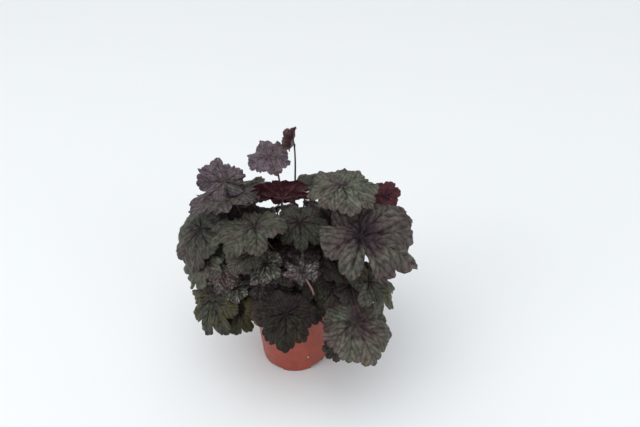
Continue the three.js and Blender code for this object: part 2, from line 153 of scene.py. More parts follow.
# The peat's rings, its levels, and the paces and heights of its lumps with the seeds of their ways and
# starts. The crown's sizes are in millimetres. Each of its knot waves has a height, how many go round it,
# a start, and a pace upwards.
PEAT = {
    "turns": 150, "rings": 46, "radius": 50 * MM, "edge": 93 * MM, "dome": 2 * MM, "highest": 97 * MM,
    "side_rings": ((0.975, 60 * MM), (0.87, 2.4 * MM)), "bottom": 2.4 * MM, "strewn_above": 88 * MM,
    "lumps": ((180, 0.9 * MM), (420, 0.5 * MM), (900, 0.32 * MM), (1700, 0.22 * MM)),
    "waves": 3, "seeds": (71, 81),
}
CROWN = {
    "sides": 90, "corner": 2.5, "step": 1.2, "shrink": 0.5, "relief": 0.45, "middle": 6,
    "profile": ((0, 84), (17.6, 84), (22, 88), (21.8, 98), (19, 104.4), (11.6, 109.4), (0, 111.8)),
    "knots": ((0.5, 7, 0, 90), (0.4, 13, -1.3, 160)), "knot_length": 100,
    "ridges": {"height": 0.35, "length": 0.55, "bend": 2.2, "bends": 3},
}

# The stage: half the floor's width, its squares, the lamps' kinds and places, the sky and the camera
FLOOR = {"reach": 14.0, "squares": 28}
LAMPS = (
    ("top_light", "SUN", (-0.35, -0.1, 1.9)),
    ("side_light", "AREA", (-2.0, -1.2, 1.3)),
    ("fill_light", "AREA", (1.7, -1.5, 1.1)),
)
LAMP = {"aim": (0, 0, 0.12), "sun_angle": 80, "area_size": 1.4, "colour": (1, 0.99, 0.97)}
SKY_COLOUR = (0.94, 0.98, 1, 1)
CAMERA = {"sensor_width": 36, "clip_start": 0.01}


def row(name, at, length, aim, arch=(14, 24), cut=0.24, lobes=7, bow=(0, 0, 0), sweep=(0, 0, 0), look=None):
    """One leaf, in millimetres and degrees: aim is heading, pitch and roll, and arch is rise and droop."""
    heading, pitch, roll = aim
    rise, droop = arch
    return {
        "name": name, "at": at, "length": length, "heading": heading, "pitch": pitch, "roll": roll,
        "rise": rise, "droop": droop, "cut": cut, "lobes": lobes, "bow": bow, "sweep": sweep,
        "look": look or {},
    }


LEAF_ROWS = (
    # Low in front
    row("front_low", (-5, -74, 138), 45, (-92, -50, 4), (10, 22), 0.2, bow=(0, 0, -15)),
    row("front_right_low", (74, -74, 123), 57, (-58, -24, 4), (12, 50), 0.1),
    row("front_right_under", (52, -86, 97), 20, (-86, -34, 0), (8, 20), 0.2, bow=(0, 0, 15)),
    row("right_low", (91, -44, 161), 46, (-24, -36, -4), (12, 30), 0.28),
    row("left_low", (-97, -40, 130), 48, (-112, -54, 12), (8, 26), 0.3),
    row("left_low_inner", (-66, -48, 118), 32, (-98, -48, 4), (10, 28), 0.24),
    row("front_right_mid", (51, -38, 146), 32, (-86, -38, 4), (14, 30), 0.28),
    row("front_inner", (0, -38, 138), 28, (-84, -26, 0), (14, 30), 0.24, bow=(-4, 0, -4)),
    row("front_left_inner", (-30, -42, 138), 32, (-120, -34, 0), (14, 30), 0.24),
    # Half way up
    row("left_mid", (-103, -12, 174), 46, (-144, -38, 6), (10, 36), 0.24),
    row("left_high", (-110, 8, 200), 54, (-146, -38, 0), (14, 46), 0.14, bow=(6, -15, 0)),
    row("young_left", (-80, -36, 168), 26, (-112, -42, 0), (16, 20), 0.28, lobes=5),
    row("young_left_low", (-67, -43, 150), 20, (-88, -44, 0), (16, 20), 0.28, lobes=5),
    row("young_front_left", (-28, -44, 188), 28, (-128, -34, 0), (18, 26), 0.28, bow=(-6, 3, 0)),
    row("front_left_fold", (-51, -24, 211), 33, (-160, -30, -30), (10, 30), 0.2, bow=(0, -15, 0)),
    row("young_front", (14, -59, 186), 25, (110, 12, 0), (20, 26), 0.3, bow=(18, -8, 0)),
    row("front_under", (24, -19, 185), 33, (-80, -30, 0), (14, 26), 0.26, bow=(12, 0, -12)),
    row("right_mid_small", (65, -26, 176), 20, (-90, -52, 0), (14, 24), 0.26, lobes=5),
    row("right_mid", (46, 21, 204), 30, (-60, -24, -8), (18, 26), 0.24, bow=(0, 0, -25)),
    # The top
    row("front_left_top", (-39, -31, 230), 54, (-158, -4, 8), (16, 32), 0.24, bow=(3, 0, 0)),
    row("front_top", (11, -18, 228), 38, (-86, -20, 0), (16, 30), 0.28),
    row("right_top", (80, -32, 216), 74, (-25, -12, 12), (28, 44), 0.22, bow=(-10, 11, 0)),
    row("right_back_top", (60, 22, 253), 50, (-80, -4, 0), (12, 30), 0.18, bow=(-9, 10, 0)),
    row("right_back_edge", (118, 16, 214), 34, (10, -12, 10), (12, 30), 0.22, bow=(6, 0, 0)),
    row("right_back_red", (112, 34, 228), 24, (60, 30, 0), (8, 14), 0.26, lobes=5, bow=(-3, 14, 0)),
    row("left_top", (-70, 20, 236), 58, (182, -6, 12), (18, 30), 0.2, bow=(0, 0, -15)),
    row("left_back_top", (-80, 28, 253), 34, (122, 46, 0), (18, 24), 0.3,
        bow=(21, -15, -15), sweep=(60, -5, 14)),
    row("back_left_top", (-28, 62, 271), 30, (-110, -20, 0), (10, 20), 0.2, bow=(8, -10, 0)),
    row("back_top_under", (-12, 30, 228), 44, (-90, 70, 0), (14, 20), 0.24),
    row("top_young", (3, 56, 289), 22, (60, 50, 0), (52, -8), 0.3, lobes=5, bow=(-10, 8, 0)),
    # Behind
    row("back_top", (34, 58, 236), 40, (55, -14, 0), (14, 32), 0.22),
    row("back_left_top_low", (-62, 62, 224), 40, (150, -20, 0), (14, 34), 0.2),
    row("back_right_top_low", (92, 66, 214), 38, (30, -20, 0), (14, 32), 0.24),
    row("back_right_mid", (40, 94, 174), 40, (66, -38, 0), (12, 30), 0.26),
    row("back_left_mid", (-26, 94, 170), 40, (106, -38, 0), (12, 30), 0.22),
    row("back_right_high", (82, 62, 188), 44, (44, -24, -8), (14, 36), 0.2, bow=(6, 0, 0)),
    row("back_high", (14.5, 84, 210), 46, (88, -22, 0), (14, 36), 0.22),
    row("back_left_high", (-58, 72, 196), 44, (132, -24, 0), (14, 36), 0.24),
    row("left_back_mid", (-92, 44, 176), 44, (156, -34, 0), (12, 34), 0.2),
    row("right_back_mid", (106, 34, 168), 42, (14, -36, 0), (12, 34), 0.24),
    row("back_right_low", (72, 74, 136), 44, (48, -46, 0), (10, 30), 0.26),
    row("back_low", (10, 88, 140), 44, (88, -48, 0), (10, 30), 0.2),
    row("back_left_low", (-54, 72, 138), 42, (130, -46, 0), (10, 30), 0.24),
    row("left_back_low", (-86, 16, 128), 38, (170, -50, 0), (10, 28), 0.26),
    row("right_side_low", (92, 2, 130), 38, (-2, -50, 0), (10, 28), 0.22),
    # Deep inside
    row("inner_left", (-20, 4, 166), 30, (-120, -36, 0), (14, 30), 0.24, bow=(6, -6, -16)),
)

# How each leaf looks: green from purple to green, the brightness share of the common tone, which is partly
# the leaf's own tone and partly painted light and shade, darker for leaves low or deep in the plant's shade
# and lighter for lit ones, aged for olive and brown patches, ruffle for the crinkle of its margin, pale for
# light veins, stalk for a light petiole, the heart share for the dark middle, which is partly the leaf's dark
# purple and partly painted shade of the hollow at the junction, quilt for the height of the puckers between
# its veins, puckers for how closely these lie, where less is wider, cut for how much of the notches' depth is
# left, lilac for a lavender tone, cup for a blade that is still folded along its middle, pink for pink main
# veins, trim for the reach of the middle lobe and of the lobes on each side, base for that of the lowest
# lobes, parted for a notch that is torn deep, round for the lobes' ends, and fold for how wavy the whole
# blade is.
COMMON_LOOK = {
    "green": 0.55, "bright": 0.9, "aged": 0.1, "ruffle": 1.0, "pale": 0.0, "stalk": 0.0, "heart": 0.5,
    "quilt": 0.5, "puckers": 1.0, "cut": 0.6, "lilac": 0.0, "cup": 0.0, "pink": 0.0, "trim": (1, 1, 1),
    "base": 1.0, "parted": 0, "round": 2.6, "fold": 1.5,
}
LOOKS = {
    "front_low": dict(
        green=0.45, bright=0.28, aged=0.4, pale=0.5, cut=0.75, trim=(1.02, 0.92, 1.02), round=1.6,
    ),
    "front_right_low": dict(
        green=0.65, bright=1.35, aged=0.2, ruffle=0.5, quilt=0.3, cut=0.2, pale=0.75, heart=0.8, fold=2.2,
        round=3.2, trim=(0.93, 1.02, 0.9),
    ),
    "front_right_under": dict(green=0.8, bright=0.65, cut=1.0),
    "front_inner": dict(green=0.6, bright=0.6, aged=0.5),
    "front_left_inner": dict(green=0.5, bright=0.6, aged=0.5),
    "right_low": dict(green=0.95, bright=1.15, aged=0.3, cut=1.0),
    "left_low": dict(green=0.9, bright=0.62, aged=0.55, pale=0.6, cut=1.0),
    "left_low_inner": dict(green=0.7, bright=0.36, aged=0.6, cut=1.0),
    "front_right_mid": dict(green=0.45, bright=0.55, aged=0.35, ruffle=1.8),
    "left_mid": dict(green=1.0, bright=1.05, fold=2.0, ruffle=1.0, quilt=0.4),
    "left_high": dict(green=0.75, bright=0.75, ruffle=0.5, quilt=0.25),
    "young_left": dict(green=0.7, lilac=0.25, bright=1.25, fold=3.0, quilt=1.8, puckers=0.6, ruffle=2.4),
    "young_left_low": dict(green=1.1, bright=1.5, fold=3.0, quilt=1.9, puckers=0.6, ruffle=2.2),
    "young_front_left": dict(green=0.85, bright=1.6, fold=3.0, quilt=1.9, puckers=0.6, ruffle=2.6),
    "front_left_fold": dict(green=0.6, bright=1.4, fold=2.5, quilt=1.5, puckers=0.7, ruffle=2.2),
    "young_front": dict(
        green=0.5, lilac=0.35, bright=1.5, fold=3.4, stalk=1.0, quilt=1.8, puckers=0.6, ruffle=2.6,
    ),
    "front_left_top": dict(green=0.85, bright=0.95, fold=2.2, quilt=0.3, ruffle=1.4, cut=1.0),
    "front_top": dict(green=0.8, bright=0.5, cut=1.0),
    "right_top": dict(
        green=0.55, bright=1.1, ruffle=1.9, heart=1.0, quilt=0.9, lilac=0.1, parted=-2, fold=1.8,
    ),
    "right_back_top": dict(green=0.75, bright=1.3, quilt=0.9, fold=2.4),
    "right_back_red": dict(green=0.0, bright=0.66),
    "left_top": dict(green=0.65, bright=0.87, ruffle=1.6, fold=1.8, lilac=0.35, pink=1.0, cut=0.9),
    "left_back_top": dict(
        green=0.5, bright=1.0, ruffle=3.2, quilt=0.4, lilac=0.7, cut=0.3, heart=0.0, pink=0.3,
        trim=(0.85, 1.1, 0.9), fold=4.0,
    ),
    "back_left_top": dict(
        green=0.4, bright=1.05, quilt=0.6, lilac=0.75, ruffle=2.4, cut=0.4, heart=0.1,
        trim=(0.9, 1.15, 1.05), fold=3.0,
    ),
    "back_top_under": dict(green=0.4, bright=1.15, base=0.45, cut=0.9, trim=(0.9, 1.1, 1.15)),
    "back_top": dict(green=0.7, bright=0.8),
    "top_young": dict(green=0.5, bright=1.2, aged=0.0, lilac=0.3, cup=0.85),
}


def draw(seed, n):
    """The n-th draw from 0 to 1 of a seed, by a multiplying generator."""
    state = (seed * DRAW["spread"] + DRAW["first"]) % DRAW["modulus"]
    for _ in range(n + 1):
        state = state * DRAW["factor"] % DRAW["modulus"]
    return state / DRAW["modulus"]


LEAVES = [dict(leaf, seed=number) for number, leaf in enumerate(LEAF_ROWS, 1)]


def is_purple(leaf):
    """Every third leaf is a purple one."""
    return leaf["seed"] % 3 == 0


def slot_of(leaf):
    """The record's material slot for a leaf."""
    if leaf["lobes"] == 5:
        return "leaf_young"
    return "leaf_purple" if is_purple(leaf) else "leaf_grey_green"


def look_of(leaf):
    """The leaf's look, with a small seeded spread where the photograph doesn't say."""
    look = dict(COMMON_LOOK)
    look["green"] += 0.3 * (draw(leaf["seed"], DRAWS["green"]) - 0.5) - (0.3 if is_purple(leaf) else 0)
    look["aged"] += 0.3 * max(0, draw(leaf["seed"], DRAWS["aged"]) - 0.5)
    look.update(LOOKS.get(leaf["name"], leaf["look"]))
    return look


# Small leaves behind the gaps, and layers of them deep inside
FILLERS = (
    row("under_left_top", (-78, 22, 211), 32, (-150, -16, 0), (14, 30)),
    row("under_left_top_right", (-46, 10, 214), 30, (-118, -14, 0), (14, 30)),
    row("by_left_low", (-84, -30, 142), 26, (-96, -44, 0)),
    row("by_right_low", (70, -40, 150), 26, (-70, -44, 0)),
    row("under_right_top", (52, -22, 176), 30, (-70, -40, 0)),
    row("behind_right_top", (76, 6, 198), 34, (150, -12, 0)),
    row("right_top_left_lobe", (50, -14, 196), 26, (-150, -20, 0)),
    row("over_rim", (27, -46, 132), 30, (-74, -60, 0), look={"bright": 0.4}),
    row("over_rim_left", (-38, -50, 130), 28, (-110, -56, 0), look={"bright": 0.6, "aged": 0.9}),
    row("folded_left", (-46, -40, 199), 32, (176, -14, -22), (14, 26), 0.2, look={"bright": 1, "green": 0.9}),
)
FILLER_SEED = 301
# Fillers and the inner layers mostly have a low brightness share: painted shade for the shade deep in the
# plant
FILLER_LOOK = {"green": 0.6, "bright": 0.6, "aged": 0.3, "ruffle": 1.5}
LAYERS = (
    {
        "name": "shade", "seed": 101, "count": 26, "centre": (0, 6), "reaches": ((68, 22), (60, 20)),
        "height": (124, 206), "length": (24, 33), "pitch": (-42, -16),
        "look": {"bright": 0.55, "aged": 0.3, "ruffle": 1.5},
    },
    {
        "name": "thicket", "seed": 201, "count": 24, "centre": (-4, 10), "reaches": ((82, 46), (56, 40)),
        "height": (140, 202), "length": (22, 30), "pitch": (-50, -20),
        "look": {"bright": 0.7, "ruffle": 1.8, "quilt": 1.7},
    },
)
GOLDEN_ANGLE = 180 * (3 - math.sqrt(5))

# How far the leaves of a layer stray from its rule, in the order of their draws
STRAY = {
    "turn": 20, "reach": 8, "height": 10, "heading": 50, "pitch": 14, "length": 1, "roll": 16, "green": 0.6,
}


def between(ends, share):
    """The number at a share of the way from the first of two ends to the second."""
    return ends[0] + (ends[1] - ends[0]) * share


def inner_leaves():
    """Small leaves in the shade of the large ones, from low outside to high inside by the golden angle."""
    leaves = []
    for layer in LAYERS:
        for k in range(layer["count"]):
            share, seed = (k + 0.5) / layer["count"], layer["seed"] + k
            stray = {
                key: width * (draw(seed, n) - 0.5)
                for n, (key, width) in enumerate(STRAY.items(), 1)
            }
            turn = k * GOLDEN_ANGLE + stray["turn"]
            ways = (math.cos(math.radians(turn)), math.sin(math.radians(turn)))
            x, y = (
                middle + (between(reach, share) + stray["reach"]) * way
                for middle, reach, way in zip(layer["centre"], layer["reaches"], ways)
            )
            height = between(layer["height"], share) + stray["height"]
            aim = (turn + stray["heading"], between(layer["pitch"], share) + stray["pitch"], stray["roll"])
            length = between(layer["length"], stray["length"] + 0.5)
            look = {"green": 0.5 + stray["green"], **layer["look"]}
            name = "%s_%02d" % (layer["name"], k)
            leaves.append(dict(row(name, (x, y, height), length, aim, (14, 28), look=look), seed=seed))
    for seed, leaf in enumerate(FILLERS, FILLER_SEED):
        leaves.append(dict(leaf, seed=seed, look={**FILLER_LOOK, **leaf["look"]}))
    return leaves


# Blades

def rays_of(leaf, side):
    """Angle, reach and whether it is a vein, for each ray of one side of a blade."""
    plan = FIVE_LOBES if leaf["lobes"] == 5 else SEVEN_LOBES
    look = look_of(leaf)
    reaches = []
    for k, reach in enumerate(plan["reaches"]):
        uneven = 0 if k == 0 else draw(leaf["seed"], 2 * k + (0 if side > 0 else 1)) - 0.5
        trim = look["trim"][0 if k == 0 else (1 if side > 0 else 2)]
        base = look["base"] if k + 1 == len(plan["reaches"]) else 1
        reaches.append(reach * (1 + UNEVEN * uneven) * trim * base)
    rays = []
    for k, angle in enumerate(plan["angles"]):
        rays.append((angle, reaches[k], True))
        if k + 1 < len(plan["angles"]):
            cut = TORN_CUT if look["parted"] == side * (k + 1) else leaf["cut"] * look["cut"]
            notch = (1 - cut) * 0.5 * (reaches[k] + reaches[k + 1])
            rays.append((0.5 * (angle + plan["angles"][k + 1]), notch, False))
    rays.append((SINUS["angle"], SINUS["reach"] * look["base"], False))
    return rays


def lobe_reach(tip, notch, share, roundness):
    """The reach of a lobe's plain outline, at a share of the way from its vein to the notch."""
    return FULLER * (notch + (tip - notch) * (1 - share ** roundness))


def tooth_reach(share, fine_depth, point_height):
    """How much of the plain reach is left by the teeth: large ones, small ones on them, and their points."""
    count, per_large = TOOTH["per_half_lobe"], TOOTH["small_per_large"]
    large = np.abs(np.cos(np.pi * count * share)) ** TOOTH["bluntness"]
    small = np.abs(np.cos(np.pi * per_large * count * share)) ** TOOTH["small_bluntness"]
    peak = np.abs((share * (per_large * count) + 0.5) % 1 - 0.5) * 2
    point = np.clip(1 - peak / TOOTH["tip"], 0, 1) ** TOOTH["point"]
    left = (1 - TOOTH["depth"] * (1 - large)) * (1 - fine_depth * (1 - small))
    return left + point_height * (point - TOOTH["point_sunk"])


def columns_of(leaf, per_span, sizes):
    """The columns of a blade's grid from the sinus round to the sinus, and the vein of each span of them."""
    columns, spans = [], []
    for side in (-1, 1):
        rays = rays_of(leaf, side)
        half, veins = [], []
        for i in range(len(rays) - 1):
            (angle, reach, vein), (next_angle, next_reach, _) = rays[i], rays[i + 1]
            last = i == len(rays) - 2
            share = np.arange(per_span + (1 if last else 0)) / per_span
            from_vein = share if vein else 1 - share
            tip, notch = (reach, next_reach) if vein else (next_reach, reach)
            plain = lobe_reach(tip, notch, from_vein, look_of(leaf)["round"])
            fade = 1 - MARGIN["teeth_fade"] * share if last else np.ones_like(share)
            start = WAVE_START * draw(leaf["seed"], DRAWS["margin"] + i)
            uneven = MARGIN["depth"] * np.sin(MARGIN["waves"] * side * np.radians(angle + share) + start)
            uneven = uneven * np.sin(np.pi * share)
            toothed = plain * (tooth_reach(from_vein, sizes.tooth_depth, sizes.tooth_point * fade) + uneven)
            fold = share * (1 - 0.5 * share) if last else from_vein
            turn = side * np.radians(angle + (next_angle - angle) * share)
            half.append(np.stack([turn, plain, toothed, fold], -1))
            shift = draw(leaf["seed"], DRAWS["veins"] + i)
            veins.append((side * math.radians(angle if vein else next_angle), shift))
        half = np.concatenate(half)
        if side < 0:
            columns.append(half[:0:-1])
            spans.extend(veins[::-1])
        else:
            columns.append(half)
            spans.extend(veins)
    return np.concatenate(columns), spans


def surface_point(leaf, angle, reach, from_vein):
    """The blade's middle surface in leaf lengths: x along the middle vein, y to its left."""
    rise = math.radians(leaf["rise"])
    bend = math.radians(leaf["rise"] + leaf["droop"])
    out = (math.sin(rise) - np.sin(rise - bend * reach)) / bend
    up = (np.cos(rise - bend * reach) - math.cos(rise)) / bend
    phase = 2 * math.pi * draw(leaf["seed"], DRAWS["wave"])
    wave = WAVE["depth"] * reach ** 2 * np.sin(WAVE["per_turn"] * angle + phase)
    pleat = PLEAT["depth"] * np.sin(from_vein * math.pi / 2) * reach * (PLEAT["fades"] - reach)
    return np.stack([out * np.cos(angle), out * np.sin(angle), up + wave + pleat], -1)


def ring_steps(per_span, length, count):
    """The column step of each ring of the grid, from the middle out. Each divides the one before it."""
    steps = []
    for k in range(1, count + 1):
        arc = k / count * length * RING["arc"]
        fits = [
            step for step in RING["steps"]
            if per_span % step == 0 and arc * step / per_span <= RING["widest"]
        ]
        steps.append(fits[0] if fits and k < count - 1 else (2 if k == count - 1 else 1))
    for k in range(count - 2, -1, -1):
        steps[k] = max(steps[k], steps[k + 1])
    return steps


def ring_triangles(inner, outer, ratio):
    """Triangles between two rings of point numbers, where the outer has ratio spans for each inner one."""
    triangles, spans = [], []
    half = ratio // 2
    first, second = inner[:-1], inner[1:]
    number = np.arange(len(first))
    for j in range(ratio):
        a, b = outer[j:-1:ratio][: len(first)], outer[j + 1::ratio][: len(first)]
        triangles.append(np.stack([first if j < half else second, a, b], -1))
        spans.append(number * ratio + j)
    middle = outer[half::ratio][: len(first)]
    triangles.append(np.stack([first, middle, second], -1))
    spans.append(number * ratio)
    return np.concatenate(triangles), np.concatenate(spans)


def vertex_normals(points, triangles):
    """Area-weighted normals of points joined by triangles."""
    a, b, c = (points[triangles[:, k]] for k in range(3))
    area = np.cross(b - a, c - a)
    normals = np.zeros_like(points)
    for k in range(3):
        np.add.at(normals, triangles[:, k], area)
    return normals / np.maximum(np.linalg.norm(normals, axis=1, keepdims=True), 1e-12)


def blade_grid(leaf, sizes, detail):
    """The flat plan of a blade: its points, triangles, vein coordinates and edge loop."""
    per_span = detail["spans"][0 if leaf["length"] >= LARGE_LEAF else 1]
    columns, spans = columns_of(leaf, per_span, sizes)
    count = max(detail["rings"], round(leaf["length"] / detail["cell"]))
    steps = ring_steps(per_span, leaf["length"], count)
    rings, chosen, reach, share = [], [np.array([0])], [np.zeros(1)], [np.zeros(1)]
    start = 1
    for k, step in enumerate(steps):
        s = (k + 1) / count
        pick = np.arange(0, len(columns), step)
        plain, toothed = columns[pick, 1], columns[pick, 2]
        rings.append(np.arange(start, start + len(pick)))
        chosen.append(pick)
        reach.append(s * (plain + (toothed - plain) * s ** TOOTH["outward"]))
        share.append(np.full(len(pick), s))
        start += len(pick)
    chosen, reach, share = (np.concatenate(parts) for parts in (chosen, reach, share))
    angle, fold = columns[chosen, 0].copy(), columns[chosen, 3].copy()
    angle[0] = fold[0] = 0
    first = rings[0]
    triangles = [np.stack([np.zeros(len(first) - 1, int), first[:-1], first[1:]], -1)]
    owners = [np.arange(len(first) - 1) * steps[0]]
    for k in range(count - 1):
        made, span = ring_triangles(rings[k], rings[k + 1], steps[k] // steps[k + 1])
        triangles.append(made)
        owners.append(span * steps[k + 1])
    triangles, owners = np.concatenate(triangles), np.concatenate(owners) // per_span
    sides = [ring[0] for ring in rings[:-1]]
    ends = [ring[-1] for ring in rings[:-1]][::-1]
    loop = np.concatenate([[0], sides, rings[-1], ends]).astype(int)
    flat = np.stack([reach * np.cos(angle), reach * np.sin(angle)], -1)
    return {
        "flat": flat, "angle": angle, "reach": reach, "fold": fold, "share": share, "loop": loop,
        "triangles": triangles, "owners": owners, "spans": spans, "wander": wander_of(leaf, flat, share),
        "puckers": look_of(leaf)["puckers"],
    }


def wander_of(leaf, flat, share):
    """How far each point of a plan is moved when its vein coordinates are measured."""
    x, y = flat.T
    first, first_fine, second, second_fine = (
        np.sin(x_pace * x + y_pace * y + WAVE_START * draw(leaf["seed"], DRAWS["wander"] + k))
        for k, (x_pace, y_pace) in enumerate(WANDER["paces"])
    )
    fine = WANDER["fine"]
    moves = np.stack([first + fine * first_fine, second + fine * second_fine], -1)
    return moves * WANDER["depth"] * full_from(share, WANDER["full_at"])[:, None]


def vein_coordinates(grid):
    """For each triangle corner, how far it is along its main vein and across from it, in leaf lengths."""
    turn = np.array([vein for vein, _ in grid["spans"]])[grid["owners"]][:, None]
    shift = np.array([offset for _, offset in grid["spans"]])[grid["owners"]][:, None]
    wander = (grid["flat"] + grid["wander"]) * grid["puckers"]
    x, y = wander[grid["triangles"], 0], wander[grid["triangles"], 1]
    along = x * np.cos(turn) + y * np.sin(turn)
    across = np.abs(y * np.cos(turn) - x * np.sin(turn))
    return along, across, shift


def branch_phase(along, across, shift):
    """Counts the side veins of a main vein: whole numbers lie on one."""
    return (along - BRANCH["lean"] * across - BRANCH["curl"] * across ** 2) / BRANCH["spacing"] + shift


def plane_wave(x, y, pace, way, start):
    """A wave over a plane. Its way and its start are draws from 0 to 1."""
    turn = 2 * math.pi * way
    return np.sin(pace * (x * math.cos(turn) + y * math.sin(turn)) + WAVE_START * start)


def uneven_waves(grid, seed, kind):
    """Waves over a blade whose ways, paces and starts are drawn."""
    for k in range(kind["count"]):
        way, pace, start = (draw(seed, kind["draw"] + part * kind["count"] + k) for part in range(3))
        yield plane_wave(*grid["flat"].T, kind["slowest"] + kind["spread"] * pace, way, start)


def full_from(share, full_at):
    """A fade from 0 in the middle of a blade to 1 at a share of the way out."""
    return np.clip(share / full_at, 0, 1)


def relief_of(leaf, look, grid, sizes):
    """The height of puckers, grooves and ruffles over the plain surface, in leaf lengths, at each point."""
    along, across, shift = vein_coordinates(grid)
    dome = np.sin(np.pi * (branch_phase(along, across, shift) % 1)) ** VEIN["pucker_dome"]
    lift = look["quilt"] * sizes.quilt_height * dome * np.clip(across / VEIN["pucker_starts"], 0, 1)
    groove = -sizes.vein_depth * np.exp(-((across / VEIN["groove"]) ** 2))
    corners, s, turn = grid["triangles"].ravel(), grid["share"], grid["angle"]
    total, hits = np.zeros(len(s)), np.zeros(len(s))
    np.add.at(total, corners, (lift + groove).ravel())
    np.add.at(hits, corners, 1)
    relief = total / np.maximum(hits, 1)
    relief *= full_from(s, RELIEF["full_at"]) * (1 - RELIEF["fades"] * s ** 4)
    seed = leaf["seed"]
    for wave in uneven_waves(grid, seed, CRINKLES):
        height = (CRINKLES["least"] + CRINKLES["quilted"] * look["quilt"]) * sizes.crinkle_height
        relief += height * wave * full_from(s, CRINKLES["full_at"])
    for wave in uneven_waves(grid, seed, SWELLS):
        relief += sizes.swell_height * wave * full_from(s, SWELLS["full_at"])
    for k, waves in enumerate(LOBE_WAVES):
        lobe_wave = np.sin(waves * turn + 2 * math.pi * draw(seed, DRAWS["lobe_waves"] + k))
        depth = look["fold"] * sizes.fold_height * (0.5 + 0.5 * look["ruffle"])
        relief += depth * (0.5 + draw(seed, DRAWS["lobe_heights"] + k)) * lobe_wave * s ** 2
    curl = draw(seed, DRAWS["curl"])
    relief += sizes.curl_height * (curl - CURL["even"]) * s ** CURL["outward"]
    bent = turn + RUFFLE["bend"] * np.sin(RUFFLE["bends"] * turn + WAVE_START * curl)
    large = np.sin(RUFFLE["waves"] * bent + RUFFLE["start"] * draw(seed, DRAWS["ruffle"]))
    small = np.sin(RUFFLE["small_waves"] * bent + RUFFLE["small_start"])
    ruffle = large + RUFFLE["small"] * small
    relief += look["ruffle"] * sizes.ruffle_height * ruffle * s ** RUFFLE["outward"]
    return relief


def frame_of(leaf):
    """The blade's axes in the plant, as the columns of a matrix, and its place."""
    heading, pitch, roll = (math.radians(leaf[key]) for key in ("heading", "pitch", "roll"))
    along = np.array([
        math.cos(heading) * math.cos(pitch), math.sin(heading) * math.cos(pitch), math.sin(pitch),
    ])
    level = np.cross([0, 0, 1], along)
    level /= np.linalg.norm(level)
    left = level * math.cos(roll) + np.cross(along, level) * math.sin(roll)
    return np.stack([along, left, np.cross(along, left)], -1), np.array(leaf["at"], float)


def compass_of(leaf):
    """The way from the plant's middle to a leaf's junction."""
    return math.atan2(leaf["at"][1], leaf["at"][0])


def leaving(compass, tilt, radius, height):
    """Where a petiole leaves the crown, and the way it leaves, tilted from upright."""
    level = np.array([math.cos(compass), math.sin(compass), 0])
    tilt = math.radians(tilt)
    way = level * math.sin(tilt) + np.array([0, 0, math.cos(tilt)])
    return level * radius + np.array([0, 0, height]), way


def root_places():
    """Where each petiole leaves the crown, and the way it leaves. Those that lean most leave it lowest."""
    def lean(leaf):
        return math.atan2(math.hypot(leaf["at"][0], leaf["at"][1]), leaf["at"][2] - CROWN_BOTTOM)

    queue = sorted(LEAVES, key=lean, reverse=True)
    places = {}
    for count, tilt, radius, height in ROOT_RINGS:
        members, queue = sorted(queue[:count], key=compass_of), queue[count:]
        pace = 2 * math.pi / len(members)
        first = sum(compass_of(leaf) - k * pace for k, leaf in enumerate(members)) / len(members)
        for k, leaf in enumerate(members):
            places[leaf["name"]] = leaving(first + k * pace, tilt, radius, height)
    return places


def petiole_line(leaf, place, steps):
    """Points of the petiole's middle line from inside the crown to the blade."""
    axes, end = frame_of(leaf)
    spot, way = place
    root = spot - way * PETIOLE["sunk"]
    arrival = axes[:, 0] * BEND["along"] + axes[:, 2] * BEND["up"]
    arrival /= np.linalg.norm(arrival)
    span = np.linalg.norm(end - root)
    bow, sweep = np.array(leaf["bow"], float), np.array(leaf["sweep"], float)
    first = root + way * span * BEND["from_crown"] + bow
    second = end - arrival * span * BEND["to_blade"] + bow + sweep
    t = np.linspace(0, 1, steps + 1)[:, None]
    return (1 - t) ** 3 * root + 3 * (1 - t) ** 2 * t * first + 3 * (1 - t) * t ** 2 * second + t ** 3 * end


def circle(sides):
    """The angles of a ring's points, and the numbers of each point and of the next one."""
    here = np.arange(sides)
    return here * 2 * math.pi / sides, here, (here + 1) % sides


def tube(line, radii, sides):
    """A closed tube round a line of points, with a round end cap at each end."""
    tangents = np.gradient(line, axis=0)
    tangents /= np.linalg.norm(tangents, axis=1, keepdims=True)
    across = np.cross(tangents[0], TUBE["aside"])
    turn, here, there = circle(sides)
    points = []
    for k, (centre, way) in enumerate(zip(line, tangents)):
        across = across - way * np.dot(across, way)
        across /= np.linalg.norm(across)
        ring = np.outer(np.cos(turn), across) + np.outer(np.sin(turn), np.cross(way, across))
        points.append(centre + radii[k] * ring)
    points.append(line[:1] - tangents[0] * radii[0] * TUBE["cap"])
    points.append(line[-1:] + tangents[-1] * radii[-1] * TUBE["cap"])
    triangles = []
    for k in range(len(line) - 1):
        a, b = k * sides, (k + 1) * sides
        triangles.append(np.stack([a + here, a + there, b + there], -1))
        triangles.append(np.stack([a + here, b + there, b + here], -1))
    last, low = (len(line) - 1) * sides, len(line) * sides
    triangles.append(np.stack([np.full(sides, low), there, here], -1))
    triangles.append(np.stack([np.full(sides, low + 1), last + here, last + there], -1))
    return np.concatenate(points), np.concatenate(triangles)


def petiole_tube(leaf, place, sizes, sides, steps):
    """A petiole's points and triangles, a little wider where it meets its blade."""
    line = petiole_line(leaf, place, steps) * MM
    line[-1] -= frame_of(leaf)[0][:, 2] * sizes.petiole_top
    t = np.linspace(0, 1, len(line))
    radii = sizes.petiole_root * (1 - t) + sizes.petiole_top * t
    flare = np.exp(-((1 - t) / PETIOLE["flare_length"]) ** 2)
    return tube(line, radii + sizes.petiole_top * PETIOLE["flare"] * flare, sides)


